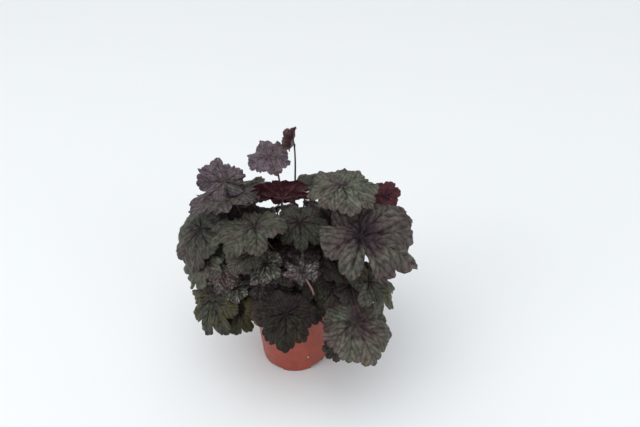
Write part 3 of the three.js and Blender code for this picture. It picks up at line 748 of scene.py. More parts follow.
def leaf_parts(leaf, place, sizes, detail=FINE):
    """A fine leaf as arrays: a blade with two faces and a thin edge, on its round petiole."""
    look = look_of(leaf)
    grid = blade_grid(leaf, sizes, detail)
    length = leaf["length"] * MM
    middle = surface_point(leaf, grid["angle"], grid["reach"], grid["fold"]) * length
    middle[:, 2] += CUP["rise"] * look["cup"] * np.abs(middle[:, 1])
    middle[:, 1] *= 1 - CUP["narrows"] * look["cup"]
    normals = vertex_normals(middle, grid["triangles"])
    relief = relief_of(leaf, look, grid, sizes)[:, None] * length
    half = sizes.blade_thickness / 2 * (1 - MARGIN["thinner"] * grid["share"][:, None])
    along, across, shift = vein_coordinates(grid)
    rib = np.zeros(len(middle))
    np.maximum.at(rib, grid["triangles"].ravel(), np.exp(-((across / VEIN["rib"]) ** 2)).ravel())
    rib = (rib * (1 - grid["share"]) * sizes.rib_height)[:, None]
    top = middle + normals * (relief + half)
    bottom = middle + normals * (relief - half - rib)
    axes, at = frame_of(leaf)
    blade = np.concatenate([top, bottom]) @ axes.T + at * MM
    sides = detail["sides"]
    stalk, stalk_triangles = petiole_tube(leaf, place, sizes, sides, detail["steps"])
    t = np.linspace(0, 1, (len(stalk) - 2) // sides)
    points = np.clip(np.concatenate([blade, stalk]), np.array(CAD_BOX[0]), np.array(CAD_BOX[1]))
    count, loop = len(middle), grid["loop"]
    after = np.roll(loop, -1)
    rim = np.concatenate([
        np.stack([loop, loop + count, after + count], -1),
        np.stack([loop, after + count, after], -1),
    ])
    upper = grid["triangles"]
    lower = upper[:, [0, 2, 1]] + count
    slots = [np.zeros(len(upper)), np.ones(len(lower)), np.zeros(len(rim)), np.full(len(stalk_triangles), 2)]
    vein = np.stack([along + BRANCH["spacing"] * shift, across], -1)
    plain = np.full((len(rim) + len(stalk_triangles), 3, 2), NO_VEIN)
    return {
        "points": points,
        "faces": np.concatenate([upper, lower, rim, stalk_triangles + 2 * count]),
        "slots": np.concatenate(slots).astype(int),
        "vein": np.concatenate([vein, vein[:, [0, 2, 1]], plain]),
        "edge": np.concatenate([grid["share"], grid["share"], np.repeat(t, sides), [0, 1]]),
        "look": look,
    }


def leaf_piece(name, parts, materials):
    """One object of one or more fine leaves, with the numbers that their materials read."""
    shift = np.cumsum([0] + [len(part["points"]) for part in parts[:-1]])
    faces = np.concatenate([part["faces"] + start for part, start in zip(parts, shift)])
    keys = ("points", "slots", "vein", "edge")
    joined = {key: np.concatenate([part[key] for part in parts]) for key in keys}
    obj = mesh_object(name, joined["points"], faces, materials, joined["slots"])
    layer = obj.data.uv_layers.new(name="vein")
    layer.uv.foreach_set("vector", joined["vein"].ravel().astype(np.float32))
    add_float(obj.data, "edge", joined["edge"])
    for key in ("green", "bright", "aged", "pale", "stalk", "heart", "lilac", "pink", "quilt"):
        add_float(obj.data, key, np.concatenate([np.full(len(p["points"]), p["look"][key]) for p in parts]))
    obj.data.set_sharp_from_angle(angle=math.radians(60))
    return obj


# Meshes

def placed(name, data):
    """Links a new object to the scene."""
    obj = bpy.data.objects.new(name, data)
    bpy.context.scene.collection.objects.link(obj)
    return obj


def mesh_object(name, points, faces, materials, slots=None):
    """A smooth object made of points and faces, with its place in its mesh."""
    mesh = bpy.data.meshes.new(name)
    mesh.from_pydata(np.asarray(points, float), [], [[int(i) for i in face] for face in faces])
    for material in materials:
        mesh.materials.append(material)
    if slots is not None:
        mesh.polygons.foreach_set("material_index", np.asarray(slots, np.int32))
    mesh.polygons.foreach_set("use_smooth", np.ones(len(mesh.polygons), bool))
    mesh.update()
    return placed(name, mesh)


def built(name, build, *materials):
    """An object made from a bmesh, which is freed."""
    mesh = bpy.data.meshes.new(name)
    build.to_mesh(mesh)
    build.free()
    for material in materials:
        mesh.materials.append(material)
    return placed(name, mesh)


def add_float(mesh, name, values):
    """A number at each point of a mesh, for its materials to read."""
    attribute = mesh.attributes.new(name, "FLOAT", "POINT")
    attribute.data.foreach_set("value", np.asarray(values, np.float32))


def finished(obj, node):
    """Hands a finished piece to the frame, in the place of a node where it has one."""
    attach(obj, "root")
    if node:
        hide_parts(node)


def plain_copy(obj):
    """Turns an object with live modifiers into a plain mesh under the same name."""
    graph = bpy.context.evaluated_depsgraph_get()
    mesh = bpy.data.meshes.new_from_object(obj.evaluated_get(graph), depsgraph=graph)
    obj.modifiers.clear()
    obj.data = mesh
    return obj


def turned(profile, sides):
    """Points and faces of a closed solid of revolution. The profile starts and ends on the axis."""
    turn, here, there = circle(sides)
    rings = [np.stack([r * np.cos(turn), r * np.sin(turn), np.full(sides, z)], -1) for r, z in profile[1:-1]]
    points = np.concatenate([[[0, 0, profile[0][1]]], *rings, [[0, 0, profile[-1][1]]]])
    faces = [[0, 1 + b, 1 + a] for a, b in zip(here, there)]
    for k in range(len(rings) - 1):
        low, high = 1 + k * sides, 1 + (k + 1) * sides
        faces.extend([low + a, low + b, high + b, high + a] for a, b in zip(here, there))
    last, end = 1 + (len(rings) - 1) * sides, len(points) - 1
    faces.extend([last + a, last + b, end] for a, b in zip(here, there))
    return points, faces


def rounded(profile, radius, steps=3):
    """A profile with its corners rounded. Its first and last points stay."""
    points = [np.array(p, float) for p in profile]
    made = [points[0]]
    for before, corner, after in zip(points, points[1:], points[2:]):
        reach_in = min(radius, ROUNDED_SHARE * np.linalg.norm(before - corner))
        reach_out = min(radius, ROUNDED_SHARE * np.linalg.norm(after - corner))
        start = corner + (before - corner) / np.linalg.norm(before - corner) * reach_in
        end = corner + (after - corner) / np.linalg.norm(after - corner) * reach_out
        for k in range(steps + 1):
            t = k / steps
            made.append((1 - t) ** 2 * start + 2 * (1 - t) * t * corner + t ** 2 * end)
    made.append(points[-1])
    return made


# Node trees

def operator_pair(operation):
    """The method of an operator that adds a Math node, and that of its reflected form."""
    def plain(self, other):
        return self.tree.math(operation, self, other)

    def reflected(self, other):
        return self.tree.math(operation, other, self)

    return plain, reflected


class Value:
    """A socket of a node tree whose operators add Math nodes."""

    __add__, __radd__ = operator_pair("ADD")
    __sub__, __rsub__ = operator_pair("SUBTRACT")
    __mul__, __rmul__ = operator_pair("MULTIPLY")
    __truediv__, __rtruediv__ = operator_pair("DIVIDE")
    __pow__, __rpow__ = operator_pair("POWER")

    def __init__(self, tree, socket):
        self.tree = tree
        self.socket = socket


class Tree:
    """Builds a node tree: one method adds nodes, and the others are short names for common ones."""

    def __init__(self, tree):
        self.tree = tree

    def node(self, kind, settings=None, inputs=None, output=0):
        node = self.tree.nodes.new(kind)
        for name, value in (settings or {}).items():
            setattr(node, name, value)
        for name, value in (inputs or {}).items():
            socket = self.socket(node.inputs, name)
            if isinstance(value, Value):
                self.tree.links.new(value.socket, socket)
            else:
                socket.default_value = value
        return Value(self, self.socket(node.outputs, output)) if node.outputs else None

    @staticmethod
    def socket(sockets, name):
        if isinstance(name, int):
            return sockets[name]
        return next((s for s in sockets if s.identifier == name), None) or sockets[name]

    def math(self, operation, *values, clamp=False):
        settings = {"operation": operation, "use_clamp": clamp}
        return self.node("ShaderNodeMath", settings, dict(enumerate(values)))


class Paint(Tree):
    """The node tree of one material."""

    def __init__(self, name):
        self.material = bpy.data.materials.new(name)
        self.material.use_nodes = True
        super().__init__(self.material.node_tree)
        self.tree.nodes.clear()
        self.place = self.node("ShaderNodeTexCoord", output="Object")

    def mix(self, factor, first, second, blend="MIX"):
        settings = {"data_type": "RGBA", "blend_type": blend, "clamp_factor": True}
        inputs = {"Factor_Float": factor, "A_Color": self.colour(first), "B_Color": self.colour(second)}
        return self.node("ShaderNodeMix", settings, inputs, "Result_Color")

    @staticmethod
    def colour(value):
        return value if isinstance(value, Value) else (*tuple(value)[:3], 1)

    def smooth(self, value, low, high, start=0.0, end=1.0):
        inputs = {"Value": value, "From Min": low, "From Max": high, "To Min": start, "To Max": end}
        return self.node("ShaderNodeMapRange", {"interpolation_type": "SMOOTHSTEP"}, inputs)

    def noise(self, scale, detail=3.0, rough=0.55, output="Fac"):
        inputs = {"Vector": self.place, "Scale": scale, "Detail": detail, "Roughness": rough}
        return self.node("ShaderNodeTexNoise", None, inputs, output)

    def streaks(self, stretch, detail, distortion=0.0):
        """Noise that is finer along some axes than along others."""
        stretched = self.node("ShaderNodeMapping", None, {"Vector": self.place, "Scale": stretch})
        inputs = {"Vector": stretched, "Scale": 1.0, "Detail": detail, "Distortion": distortion}
        return self.node("ShaderNodeTexNoise", None, inputs, "Fac")

    def cells(self, scale, feature="F1", vector=None):
        inputs = {"Vector": vector or self.place, "Scale": scale}
        return self.node("ShaderNodeTexVoronoi", {"feature": feature}, inputs, "Distance")

    def number(self, name):
        return self.node("ShaderNodeAttribute", {"attribute_name": name}, output="Fac")

    def layers(self, colour, *coats):
        """A colour with others laid over it in turn, each by its mask."""
        for mask, coat in coats:
            colour = self.mix(mask, colour, coat)
        return colour

    def mingled(self, share, base, low, high, *coats):
        """Two shades of a colour mingled by a share, with more of its shades laid over them by masks."""
        colour = self.mix(share, scaled(base, low), scaled(base, high))
        return self.layers(colour, *((mask, scaled(base, factor)) for mask, factor in coats))

    def toned(self, colour, tone):
        """A colour made lighter or darker by a tone."""
        tint = self.node("ShaderNodeCombineColor", None, {"Red": tone, "Green": tone, "Blue": tone})
        return self.mix(1.0, colour, tint, "MULTIPLY")

    def bump(self, height, distance, strength=1.0):
        inputs = {"Height": height, "Distance": distance, "Strength": strength}
        return self.node("ShaderNodeBump", None, inputs)

    def finish(self, colour, roughness, normal=None, **constants):
        inputs = {"Base Color": colour, "Roughness": roughness}
        if normal:
            inputs["Normal"] = normal
        inputs.update({name.replace("_", " "): value for name, value in constants.items()})
        shader = self.node("ShaderNodeBsdfPrincipled", None, inputs)
        self.node("ShaderNodeOutputMaterial", None, {"Surface": shader})
        return self.material


class Growth(Tree):
    """A Geometry Nodes tree with named inputs, which grows small things over the faces of a mesh."""

    def __init__(self, name, inputs):
        super().__init__(bpy.data.node_groups.new(name, "GeometryNodeTree"))
        sockets = self.tree.interface
        sockets.new_socket("Geometry", in_out="INPUT", socket_type="NodeSocketGeometry")
        sockets.new_socket("Geometry", in_out="OUTPUT", socket_type="NodeSocketGeometry")
        self.settings = {}
        for label, (kind, value) in inputs.items():
            socket = sockets.new_socket(label, in_out="INPUT", socket_type="NodeSocket" + kind)
            self.settings[socket.identifier] = value
        start = self.tree.nodes.new("NodeGroupInput")
        self.given = {socket.name: Value(self, socket) for socket in start.outputs}

    def random(self, low, high, seed):
        """A number between two others for each point, or a vector between two vectors."""
        inputs = {"Seed": seed}
        if isinstance(low, tuple):
            inputs.update({"Min": low, "Max": high})
            return self.node("FunctionNodeRandomValue", {"data_type": "FLOAT_VECTOR"}, inputs, "Value")
        inputs.update({"Min_001": low, "Max_001": high})
        return self.node("FunctionNodeRandomValue", {"data_type": "FLOAT"}, inputs, "Value_001")

    def scatter(self, selection, seed):
        """Points over the chosen faces, and the turn that sets a thing upright on its face."""
        inputs = {"Mesh": self.given["Geometry"], "Density": self.given["Density"], "Seed": seed}
        if selection:
            inputs["Selection"] = selection
        points = self.node("GeometryNodeDistributePointsOnFaces", None, inputs, "Points")
        return points, Value(self, points.socket.node.outputs["Rotation"])

    def turn(self, rotation, euler):
        """A turn of a thing about its own axes, before it is set on its face."""
        own = self.node("FunctionNodeEulerToRotation", None, {"Euler": euler})
        return self.node("FunctionNodeRotateRotation", {"rotation_space": "LOCAL"}, {
            "Rotation": rotation, "Rotate By": own,
        })

    def part(self, vector, axis):
        return self.node("ShaderNodeSeparateXYZ", None, {"Vector": vector}, axis)

    def place(self, points, thing, rotation, scale):
        """Ends the tree: one thing at each point, as real mesh with its material."""
        made = self.node("GeometryNodeInstanceOnPoints", None, {
            "Points": points, "Instance": thing, "Rotation": rotation, "Scale": scale,
        })
        made = self.node("GeometryNodeRealizeInstances", None, {"Geometry": made})
        inputs = {"Geometry": made, "Material": self.given["Material"]}
        made = self.node("GeometryNodeSetMaterial", None, inputs)
        self.node("NodeGroupOutput", None, {"Geometry": made})

    def grow(self, obj):
        """Runs the tree on an object and leaves a plain mesh."""
        modifier = obj.modifiers.new(self.tree.name, "NODES")
        modifier.node_group = self.tree
        for identifier, value in self.settings.items():
            modifier[identifier] = value
        return plain_copy(obj)


def scaled(colour, factor):
    """A colour made lighter or darker."""
    return tuple(factor * channel for channel in tuple(colour)[:3])


def vein_lines(paint):
    """Masks of a blade's veins from its vein coordinates: the main lines, the side lines and the puckers."""
    uv = paint.node("ShaderNodeUVMap", {"uv_map": "vein"})
    along = paint.node("ShaderNodeSeparateXYZ", None, {"Vector": uv}, "X")
    across = Value(paint, along.socket.node.outputs["Y"])
    edge = paint.number("edge")
    wobble = paint.noise(160, 2) - 0.5
    main = 1 - paint.smooth(across + 0.004 * wobble, 0.002, 0.02 - 0.015 * edge)
    phase = (along - BRANCH["lean"] * across - BRANCH["curl"] * across * across) / BRANCH["spacing"]
    wrapped = paint.math("FRACT", phase + 0.35 * wobble + 10)
    peak = paint.math("ABSOLUTE", wrapped - 0.5) * 2
    side = paint.smooth(peak, 0.84, 1.0) * paint.smooth(edge, 0.04, 0.25)
    return {"edge": edge, "main": main, "side": side, "peak": peak}


def upper_face(name, sizes, low, high, red, gloss):
    """The upper face of a leaf: two mingled tones, dark along the veins, with painted shade by the junction
    and in the creases and painted highlights on the puckers.
    """
    paint = Paint(name)
    lines = vein_lines(paint)
    edge, main, side, peak = (lines[key] for key in ("edge", "main", "side", "peak"))
    green, bright, aged, core = (paint.number(key) for key in ("green", "bright", "aged", "heart"))
    quilt, pale, lilac, pink = (paint.number(key) for key in ("quilt", "pale", "lilac", "pink"))
    broad, fine = paint.noise(34, 3), paint.noise(420, 4, 0.6)
    mottle = paint.smooth(paint.noise(150, 3), 0.3, 0.7)

    # The two tones, and the broad patches on them
    rosy = paint.smooth(edge + 0.5 * (broad - 0.5), 0.55, 1.05)
    outward = 0.9 * core * (edge - 0.5)
    share = paint.math("ADD", green + 2.2 * (broad - 0.5), outward - 0.3 * rosy, clamp=True)
    lavender = lilac * paint.smooth(paint.noise(30, 3) + 0.25 * edge, 0.38, 0.75)
    worn = paint.smooth(paint.noise(26, 4, 0.6) + 0.6 * aged, 0.68, 0.95) * paint.smooth(aged, 0, 0.3)
    # Painted shade of the hollow at the junction, on top of the leaf's own dark purple there
    heart = core * (1 - paint.smooth(edge + 0.25 * (broad - 0.5), 0.02 + 0.1 * core, 0.26 + 0.4 * core))

    # Puckers and creases of a young leaf: painted shade in the creases, and a painted highlight on the ridges
    # between side veins
    bent = paint.node("ShaderNodeVectorMath", {"operation": "MULTIPLY_ADD"}, {
        0: paint.noise(70, 2, output="Color"), 1: (0.012, 0.012, 0.012), 2: paint.place,
    }, "Vector")
    folds = paint.cells(190, "DISTANCE_TO_EDGE", bent)
    crease_shade = (1 - paint.smooth(folds, 0.0, 0.14)) * paint.smooth(quilt, 0.9, 1.8)
    # Painted highlight where the puckers' ridges would catch the light
    ridge_highlight = paint.smooth(1 - peak, 0.2, 0.9) * mottle * paint.smooth(quilt, 0.8, 2.0)

    # Veins and margin
    vein = paint.layers(
        sizes.vein_colour,
        (pale, sizes.pale_colour),
        (0.75 * lilac, sizes.lilac_colour),
        (pink, sizes.pink_colour),
    )
    margin = paint.smooth(edge + 0.02 * (fine - 0.5), 0.965, 1.0)
    colour = paint.layers(
        paint.mix(share, low, high),
        (lavender, sizes.lilac_colour),
        (worn * 0.75, sizes.aged_colour),
        (heart, sizes.shade_colour),
        # Side veins, darker on puckered leaves as painted shade in the creases along them
        (side * (0.07 + 0.3 * quilt), sizes.shade_colour),
        (0.4 * ridge_highlight, sizes.ridge_highlight_colour),
        (0.6 * crease_shade, sizes.shade_colour),
        (main * (0.8 - 0.55 * edge), vein),
        (margin * 0.3, red),
    )
    # Painted light: lighter on the domes between side veins and darker on the lines, in mottled patches that
    # stand for puckers catching the light, and by the leaf's brightness share
    colour = paint.toned(colour, bright * (0.3 + 1.1 * fine + 1.05 * mottle) * (1.2 - 0.36 * peak))
    net = paint.smooth(paint.cells(430, "DISTANCE_TO_EDGE"), 0.0, 0.12)
    height = 0.5 * net + 0.3 * fine - 0.8 * side - 1.2 * main - 1.4 * crease_shade
    roughness = gloss - 0.06 + 0.2 * (fine - 0.5) + 0.1 * main
    return paint.finish(
        colour, roughness, paint.bump(height, 0.0008), Coat_Roughness=0.28, Coat_Weight=0.04,
        Specular_IOR_Level=0.13)


def under_face(sizes):
    """The underside of a leaf: maroon with paler raised veins."""
    paint = Paint("leaf underside")
    lines = vein_lines(paint)
    fine = paint.noise(500, 3)
    net = paint.smooth(paint.cells(430, "DISTANCE_TO_EDGE"), 0.0, 0.12)
    colour = paint.mingled(paint.noise(45, 3), sizes.under_colour, 0.65, 1.4)
    # The underside is darkened or lightened by the leaf's brightness share, which is partly painted light and
    # shade
    colour = paint.toned(colour, 0.55 + 0.5 * paint.number("bright"))
    ribs = paint.math("MAXIMUM", lines["main"] * 0.6, lines["side"] * 0.25)
    colour = paint.mix(ribs, colour, scaled(sizes.petiole_colour, 0.5))
    height = 1.6 * lines["main"] + 0.8 * lines["side"] - 0.4 * net + 0.3 * fine
    return paint.finish(colour, 0.5 + 0.15 * (fine - 0.5), paint.bump(height, 0.00025, 0.8))


def petiole_skin(sizes):
    """The petiole: brownish pink, paler near the blade, with lengthwise streaks."""
    paint = Paint("petiole")
    streak = paint.streaks((1600, 1600, 160), 3.0)
    light = paint.number("stalk") * (0.3 + 0.7 * paint.number("edge"))
    colour = paint.mingled(light, sizes.petiole_colour, 0.1, 1, (0.3 * streak, 0.25))
    return paint.finish(colour, 0.42 + 0.2 * streak, paint.bump(streak, 0.0002, 0.6))


# Settings

def measure(name, description, default, most=10.0, least=0.0):
    """A length in metres."""
    return FloatProperty(
        name=name, description=description, default=default, min=least, max=most, unit="LENGTH", precision=5)


def blade_share(name, description, default, most):
    """A share of the blade's length."""
    description += ", as a share of the blade's length"
    return FloatProperty(
        name=name, description=description, default=default, min=0, max=most, subtype="FACTOR")


def amount(name, description, default):
    """A plain number from 0 up."""
    return FloatProperty(name=name, description=description, default=default, min=0)


def tint(name, description, default):
    """A colour."""
    return FloatVectorProperty(
        name=name, description=description, default=default, min=0, max=1, subtype="COLOR")


class CoralBellsLeaves(bpy.types.PropertyGroup):
    """Sizes and colours of the leaves"""

    blade_thickness: measure("Blade thickness", "Thickness of a blade by its middle", 0.5 * MM, 1.0 * MM)
    quilt_height: blade_share("Pucker height", "Rise between two side veins", 0.024, 0.05)
    vein_depth: blade_share("Vein depth", "Depth of the main veins' grooves", 0.016, 0.04)
    rib_height: measure("Rib height", "How far the main veins stand out below", 0.6 * MM, 2 * MM)
    ruffle_height: blade_share("Ruffle height", "Rise of the margin's waves", 0.018, 0.05)
    crinkle_height: blade_share("Crinkle height", "Rise of the small uneven crinkles", 0.0065, 0.02)
    fold_height: blade_share("Fold height", "Rise of the lobes' own tilts", 0.016, 0.05)
    curl_height: blade_share("Curl height", "How far a margin curls up or down", 0.07, 0.2)
    swell_height: blade_share("Swell height", "Rise of the broad swells", 0.012, 0.03)
    tooth_depth: blade_share("Small tooth depth", "Depth of the small teeth", 0.007, 0.06)
    tooth_point: blade_share("Tooth point", "Length of a tooth's point", 0.005, 0.03)
    petiole_root: measure("Petiole at the crown", "Radius where it leaves the crown", 1.6 * MM, 1.9 * MM)
    petiole_top: measure("Petiole at the blade", "Radius where it meets its blade", 0.95 * MM, 1.5 * MM)
    hair_length: measure("Hair length", "Length of a petiole's hairs", 1.3 * MM)
    hair_radius: measure("Hair radius", "Radius of a hair at its root", 0.035 * MM)
    hair_density: amount("Hairs", "Hairs to a square metre of petiole", 240000)
    green_colour: tint("Grey-green", "The greener tone of an upper face", (0.056, 0.06, 0.045))
    purple_colour: tint("Purple", "The purple tone of an upper face", (0.061, 0.034, 0.038))
    young_colour: tint("Young red", "The red tone of a young leaf", (0.085, 0.022, 0.03))
    # A painted highlight on the ridges of a young leaf's puckers
    ridge_highlight_colour: tint("Painted highlight", "A young leaf's puckers, where they catch the light", (0.11, 0.11, 0.1))
    aged_colour: tint("Aged olive", "Patches on an ageing leaf", (0.1, 0.082, 0.03))
    # The dark purple of the junction and the veins, also used as painted shade there and in the creases of
    # puckered leaves
    shade_colour: tint("Dark purple", "By the junction and along the veins", (0.02, 0.012, 0.018))
    vein_colour: tint("Main veins", "The line of a main vein above", (0.016, 0.014, 0.013))
    lilac_colour: tint("Lavender", "The lavender tone of some upper faces", (0.105, 0.082, 0.1))
    pink_colour: tint("Pink veins", "The main veins of a leaf with pink ones", (0.22, 0.075, 0.08))
    pale_colour: tint("Pale veins", "The main veins of a leaf with pale ones", (0.075, 0.07, 0.045))
    margin_colour: tint("Margin", "The thin edge of a blade", (0.05, 0.012, 0.016))
    under_colour: tint("Underside", "The maroon of an underside", (0.055, 0.011, 0.018))
    hair_colour: tint("Hair", "The petioles' hairs", (0.3, 0.2, 0.18))
    petiole_colour: tint("Petiole", "The petiole near its blade", (0.42, 0.2, 0.19))


class CoralBellsPot(bpy.types.PropertyGroup):
    """Sizes and colours of the pot"""

    height: measure("Height", "Height of the pot", POT_BOX[1][2])
    base_radius: measure("Base radius", "Radius of the pot's wall at its foot", 45 * MM)
    top_radius: measure("Top radius", "Radius of the pot's wall at its top", 53 * MM)
    wall: measure("Wall", "Thickness of the pot's wall", 1.4 * MM)
    slots: IntProperty(name="Drain slots", description="Slots in the heel", default=5, min=1, max=12)
    colour: tint("Plastic", "The pot's plastic", (0.3, 0.053, 0.03))
    speck_colour: tint("Stuck grain", "The perlite grain stuck to the wall", (0.75, 0.68, 0.6))


class CoralBellsPeat(bpy.types.PropertyGroup):
    """Sizes and colours of the peat and the crown"""

    crumb_size: measure("Crumb size", "Width of a common peat crumb", 2.2 * MM)
    crumb_density: amount("Crumbs", "Crumbs to a square metre", 150000)
    grain_size: measure("Perlite size", "Width of a common perlite grain", 2.6 * MM)
    grain_density: amount("Perlite", "Perlite grains to a square metre", 9000)
    scale_length: measure("Scale length", "Length of a papery scale on the crown", 8 * MM)
    scale_density: amount("Scales", "Scales to a square metre of the crown", 16000)
    peat_colour: tint("Peat", "Moist peat", (0.035, 0.022, 0.015))
    grain_colour: tint("Perlite colour", "Perlite", (0.72, 0.7, 0.66))
    scale_colour: tint("Scale colour", "Dry papery scales", (0.2, 0.1, 0.05))
    crown_colour: tint("Crown", "The woody crown", (0.1, 0.055, 0.03))


class CoralBellsStage(bpy.types.PropertyGroup):
    """The camera, the floor and the lights"""

    camera_height: measure("Camera height", "Height of the camera over the floor", 0.614)
    camera_distance: measure("Camera distance", "How far the camera stands in front of the pot", 0.548)
    camera_right: measure("Camera right", "How far it stands to the right of the pot", 0.034, least=-10.0)
    camera_down: FloatProperty(
        name="Camera down", description="How far below level the camera looks",
        default=math.radians(35.2), subtype="ANGLE")
    focal_length: FloatProperty(
        name="Focal length", description="Focal length in millimetres on a 36 mm sensor", default=32.0625)
    floor_colour: tint("Floor", "The pale floor", (0.82, 0.845, 0.865))
    sky: amount("Room light", "Strength of the even light", 0.5)
    top_light: amount("Top light", "Strength of the broad light above", 1.62)
    side_light: amount("Side light", "Power of the light at the left", 17)
    fill_light: amount("Fill light", "Power of the light at the right", 9)


# Operators

class CORAL_OT_stage(bpy.types.Operator):
    """Makes the camera, the pale floor and the soft studio light"""

    bl_idname = "coral.stage"
    bl_label = "Camera and Stage"

    def execute(self, context):
        look = context.scene.coral_stage
        data = bpy.data.cameras.new("camera")
        data.lens = look.focal_length
        data.sensor_width = CAMERA["sensor_width"]
        data.clip_start = CAMERA["clip_start"]
        camera = placed("camera", data)
        camera.location = (look.camera_right, -look.camera_distance, look.camera_height)
        camera.rotation_euler = (math.pi / 2 - look.camera_down, 0, 0)
        context.scene.camera = camera
        self.floor(look)
        self.world(context.scene, look)
        for name, kind, place in LAMPS:
            self.lamp(name, kind, place, getattr(look, name))
        context.scene.view_settings.view_transform = "Standard"
        return {"FINISHED"}

    @staticmethod
    def floor(look):
        paint = Paint("floor")
        colour = paint.mingled(0.3 * paint.noise(6, 2), look.floor_colour, 1, 0.97)
        steps = np.linspace(-FLOOR["reach"], FLOOR["reach"], FLOOR["squares"] + 1)
        x, y = np.meshgrid(steps, steps)
        points = np.stack([x.ravel(), y.ravel(), np.zeros(x.size)], -1)
        number = np.arange(x.size).reshape(x.shape)
        corners = (number[:-1, :-1], number[:-1, 1:], number[1:, 1:], number[1:, :-1])
        faces = np.stack([corner.ravel() for corner in corners], -1)
        mesh_object("floor", points, faces, [paint.finish(colour, 0.75)])

    @staticmethod
    def world(scene, look):
        world = bpy.data.worlds.new("studio")
        world.use_nodes = True
        tree = Tree(world.node_tree)
        world.node_tree.nodes.clear()
        light = tree.node("ShaderNodeBackground", None, {"Color": SKY_COLOUR, "Strength": look.sky})
        tree.node("ShaderNodeOutputWorld", None, {"Surface": light})
        scene.world = world

    @staticmethod
    def lamp(name, kind, place, power):
        data = bpy.data.lights.new(name, kind)
        if kind == "SUN":
            data.angle = math.radians(LAMP["sun_angle"])
        else:
            data.size = LAMP["area_size"]
        data.energy = power
        data.color = LAMP["colour"]
        lamp = placed(name, data)
        lamp.location = place
        way = np.array(LAMP["aim"]) - np.array(place)
        tilt = math.acos(-way[2] / np.linalg.norm(way))
        lamp.rotation_euler = (tilt, 0, math.atan2(way[1], way[0]) - math.pi / 2)


class CORAL_OT_pot(bpy.types.Operator):
    """Makes the pot: a thin tapering wall with a rolled rim, a flat foot and drain slots"""

    bl_idname = "coral.pot"
    bl_label = "Pot"

    def execute(self, context):
        sizes = context.scene.coral_pot
        points, faces = turned(self.profile(sizes), POT["sides"])
        obj = mesh_object("fine_pot", points, faces, [self.plastic(sizes)])
        cutter = self.cutter(sizes)
        cut = obj.modifiers.new("slots", "BOOLEAN")
        cut.operation = "DIFFERENCE"
        cut.solver = "EXACT"
        cut.object = cutter
        plain_copy(obj)
        bpy.data.objects.remove(cutter)
        obj.data.set_sharp_from_angle(angle=math.radians(40))
        finished(obj, "pot")
        return {"FINISHED"}

    @staticmethod
    def profile(sizes):
        """The outline of the pot's wall, from the middle of its underside to the middle of its floor."""
        def outside(z):
            return sizes.base_radius + (sizes.top_radius - sizes.base_radius) * z / sizes.height

        foot, height, wall = sizes.base_radius, sizes.height, sizes.wall
        proud, step = POT["proud"], POT["step"]
        rim = height - POT["rim"]
        neck = rim - proud
        lip = outside(height) + proud
        rim_wall = wall + step
        corners = [
            (0, POT["hollow"]),
            (foot - POT["ring"], POT["hollow"]),
            (foot - POT["ring_slope"], 0),
            (foot - POT["edge"], 0),
            (outside(POT["heel"]), POT["heel"]),
            (outside(neck), neck),
            (outside(rim) + proud, rim),
            (lip, height),
            (lip - rim_wall, height),
            (outside(rim) + proud - rim_wall, rim + step),
            (outside(neck) - wall, neck),
            (outside(POT["floor"]) - wall, POT["floor"]),
            (0, POT["floor"]),
        ]
        return rounded(corners, POT["corner"])

    @staticmethod
    def cutter(sizes):
        """Blocks across the heel, one for each drain slot, with their level edges rounded."""
        build = bmesh.new()
        depth, width = SLOT["depth"], SLOT["width"]
        for k in range(sizes.slots):
            height = SLOT["taller"] if k == SLOT["taller_one"] else SLOT["height"]
            turn = math.radians(SLOT["first"] + k * 360 / sizes.slots)
            for v in bmesh.ops.create_cube(build, size=1)["verts"]:
                x, y, z = v.co.x * depth + SLOT["inner"] + depth / 2, v.co.y * width, v.co.z * 2 * height
                v.co = (x * math.cos(turn) - y * math.sin(turn), x * math.sin(turn) + y * math.cos(turn), z)
        level = [e for e in build.edges if abs(e.verts[0].co.z + e.verts[1].co.z) > SLOT["height"]]
        bmesh.ops.bevel(build, geom=level, offset=SLOT["corner"], segments=3, affect="EDGES")
        return built("slot_cutter", build)

    @staticmethod
    def plastic(sizes):
        """Terracotta-coloured plastic, clouded and scuffed, with painted shadow at its foot and a dark ring
        round the stuck grain.
        """
        paint = Paint("pot plastic")
        broad, fine = paint.noise(22, 4, 0.6), paint.noise(900, 3)
        streaks = paint.streaks((120, 120, 900), 4.0)
        specks = 1 - paint.smooth(paint.cells(420), 0.06, 0.13)
        scuff = paint.smooth(paint.noise(70, 5, 0.7), 0.56, 0.72)
        cloud = paint.smooth(paint.noise(58, 4, 0.65), 0.42, 0.62)
        mottle = paint.smooth(paint.noise(210, 3, 0.6), 0.5, 0.7)
        # A dark ring round the stuck grain
        spot = {0: paint.place, 1: STUCK_GRAIN["at"]}
        away = paint.node("ShaderNodeVectorMath", {"operation": "DISTANCE"}, spot, "Value")
        grain_ring = paint.smooth(away, 1.8 * MM, 3.4 * MM, 1, 0)
        # Painted shadow: the lowest two millimetres darkened where the pot meets the floor
        level = paint.node("ShaderNodeSeparateXYZ", None, {"Vector": paint.place}, "Z")
        foot = paint.smooth(level, 0.4 * MM, 2.2 * MM, 1, 0)
        colour = paint.mingled(
            broad, sizes.colour, 0.84, 1.14,
            (0.22 * streaks, 0.7), (0.5 * specks, 0.3), (0.18 * scuff, 1.5), (0.5 * cloud, 1.35),
            (0.4 * mottle, 0.55), (0.7 * grain_ring, 0.35), (0.5 * foot, 0.3))
        height = 0.5 * fine + 0.6 * streaks + 0.5 * scuff
        roughness = 0.34 + 0.16 * scuff + 0.1 * broad
        return paint.finish(colour, roughness, paint.bump(height, 0.0001, 0.5), Specular_IOR_Level=0.38)


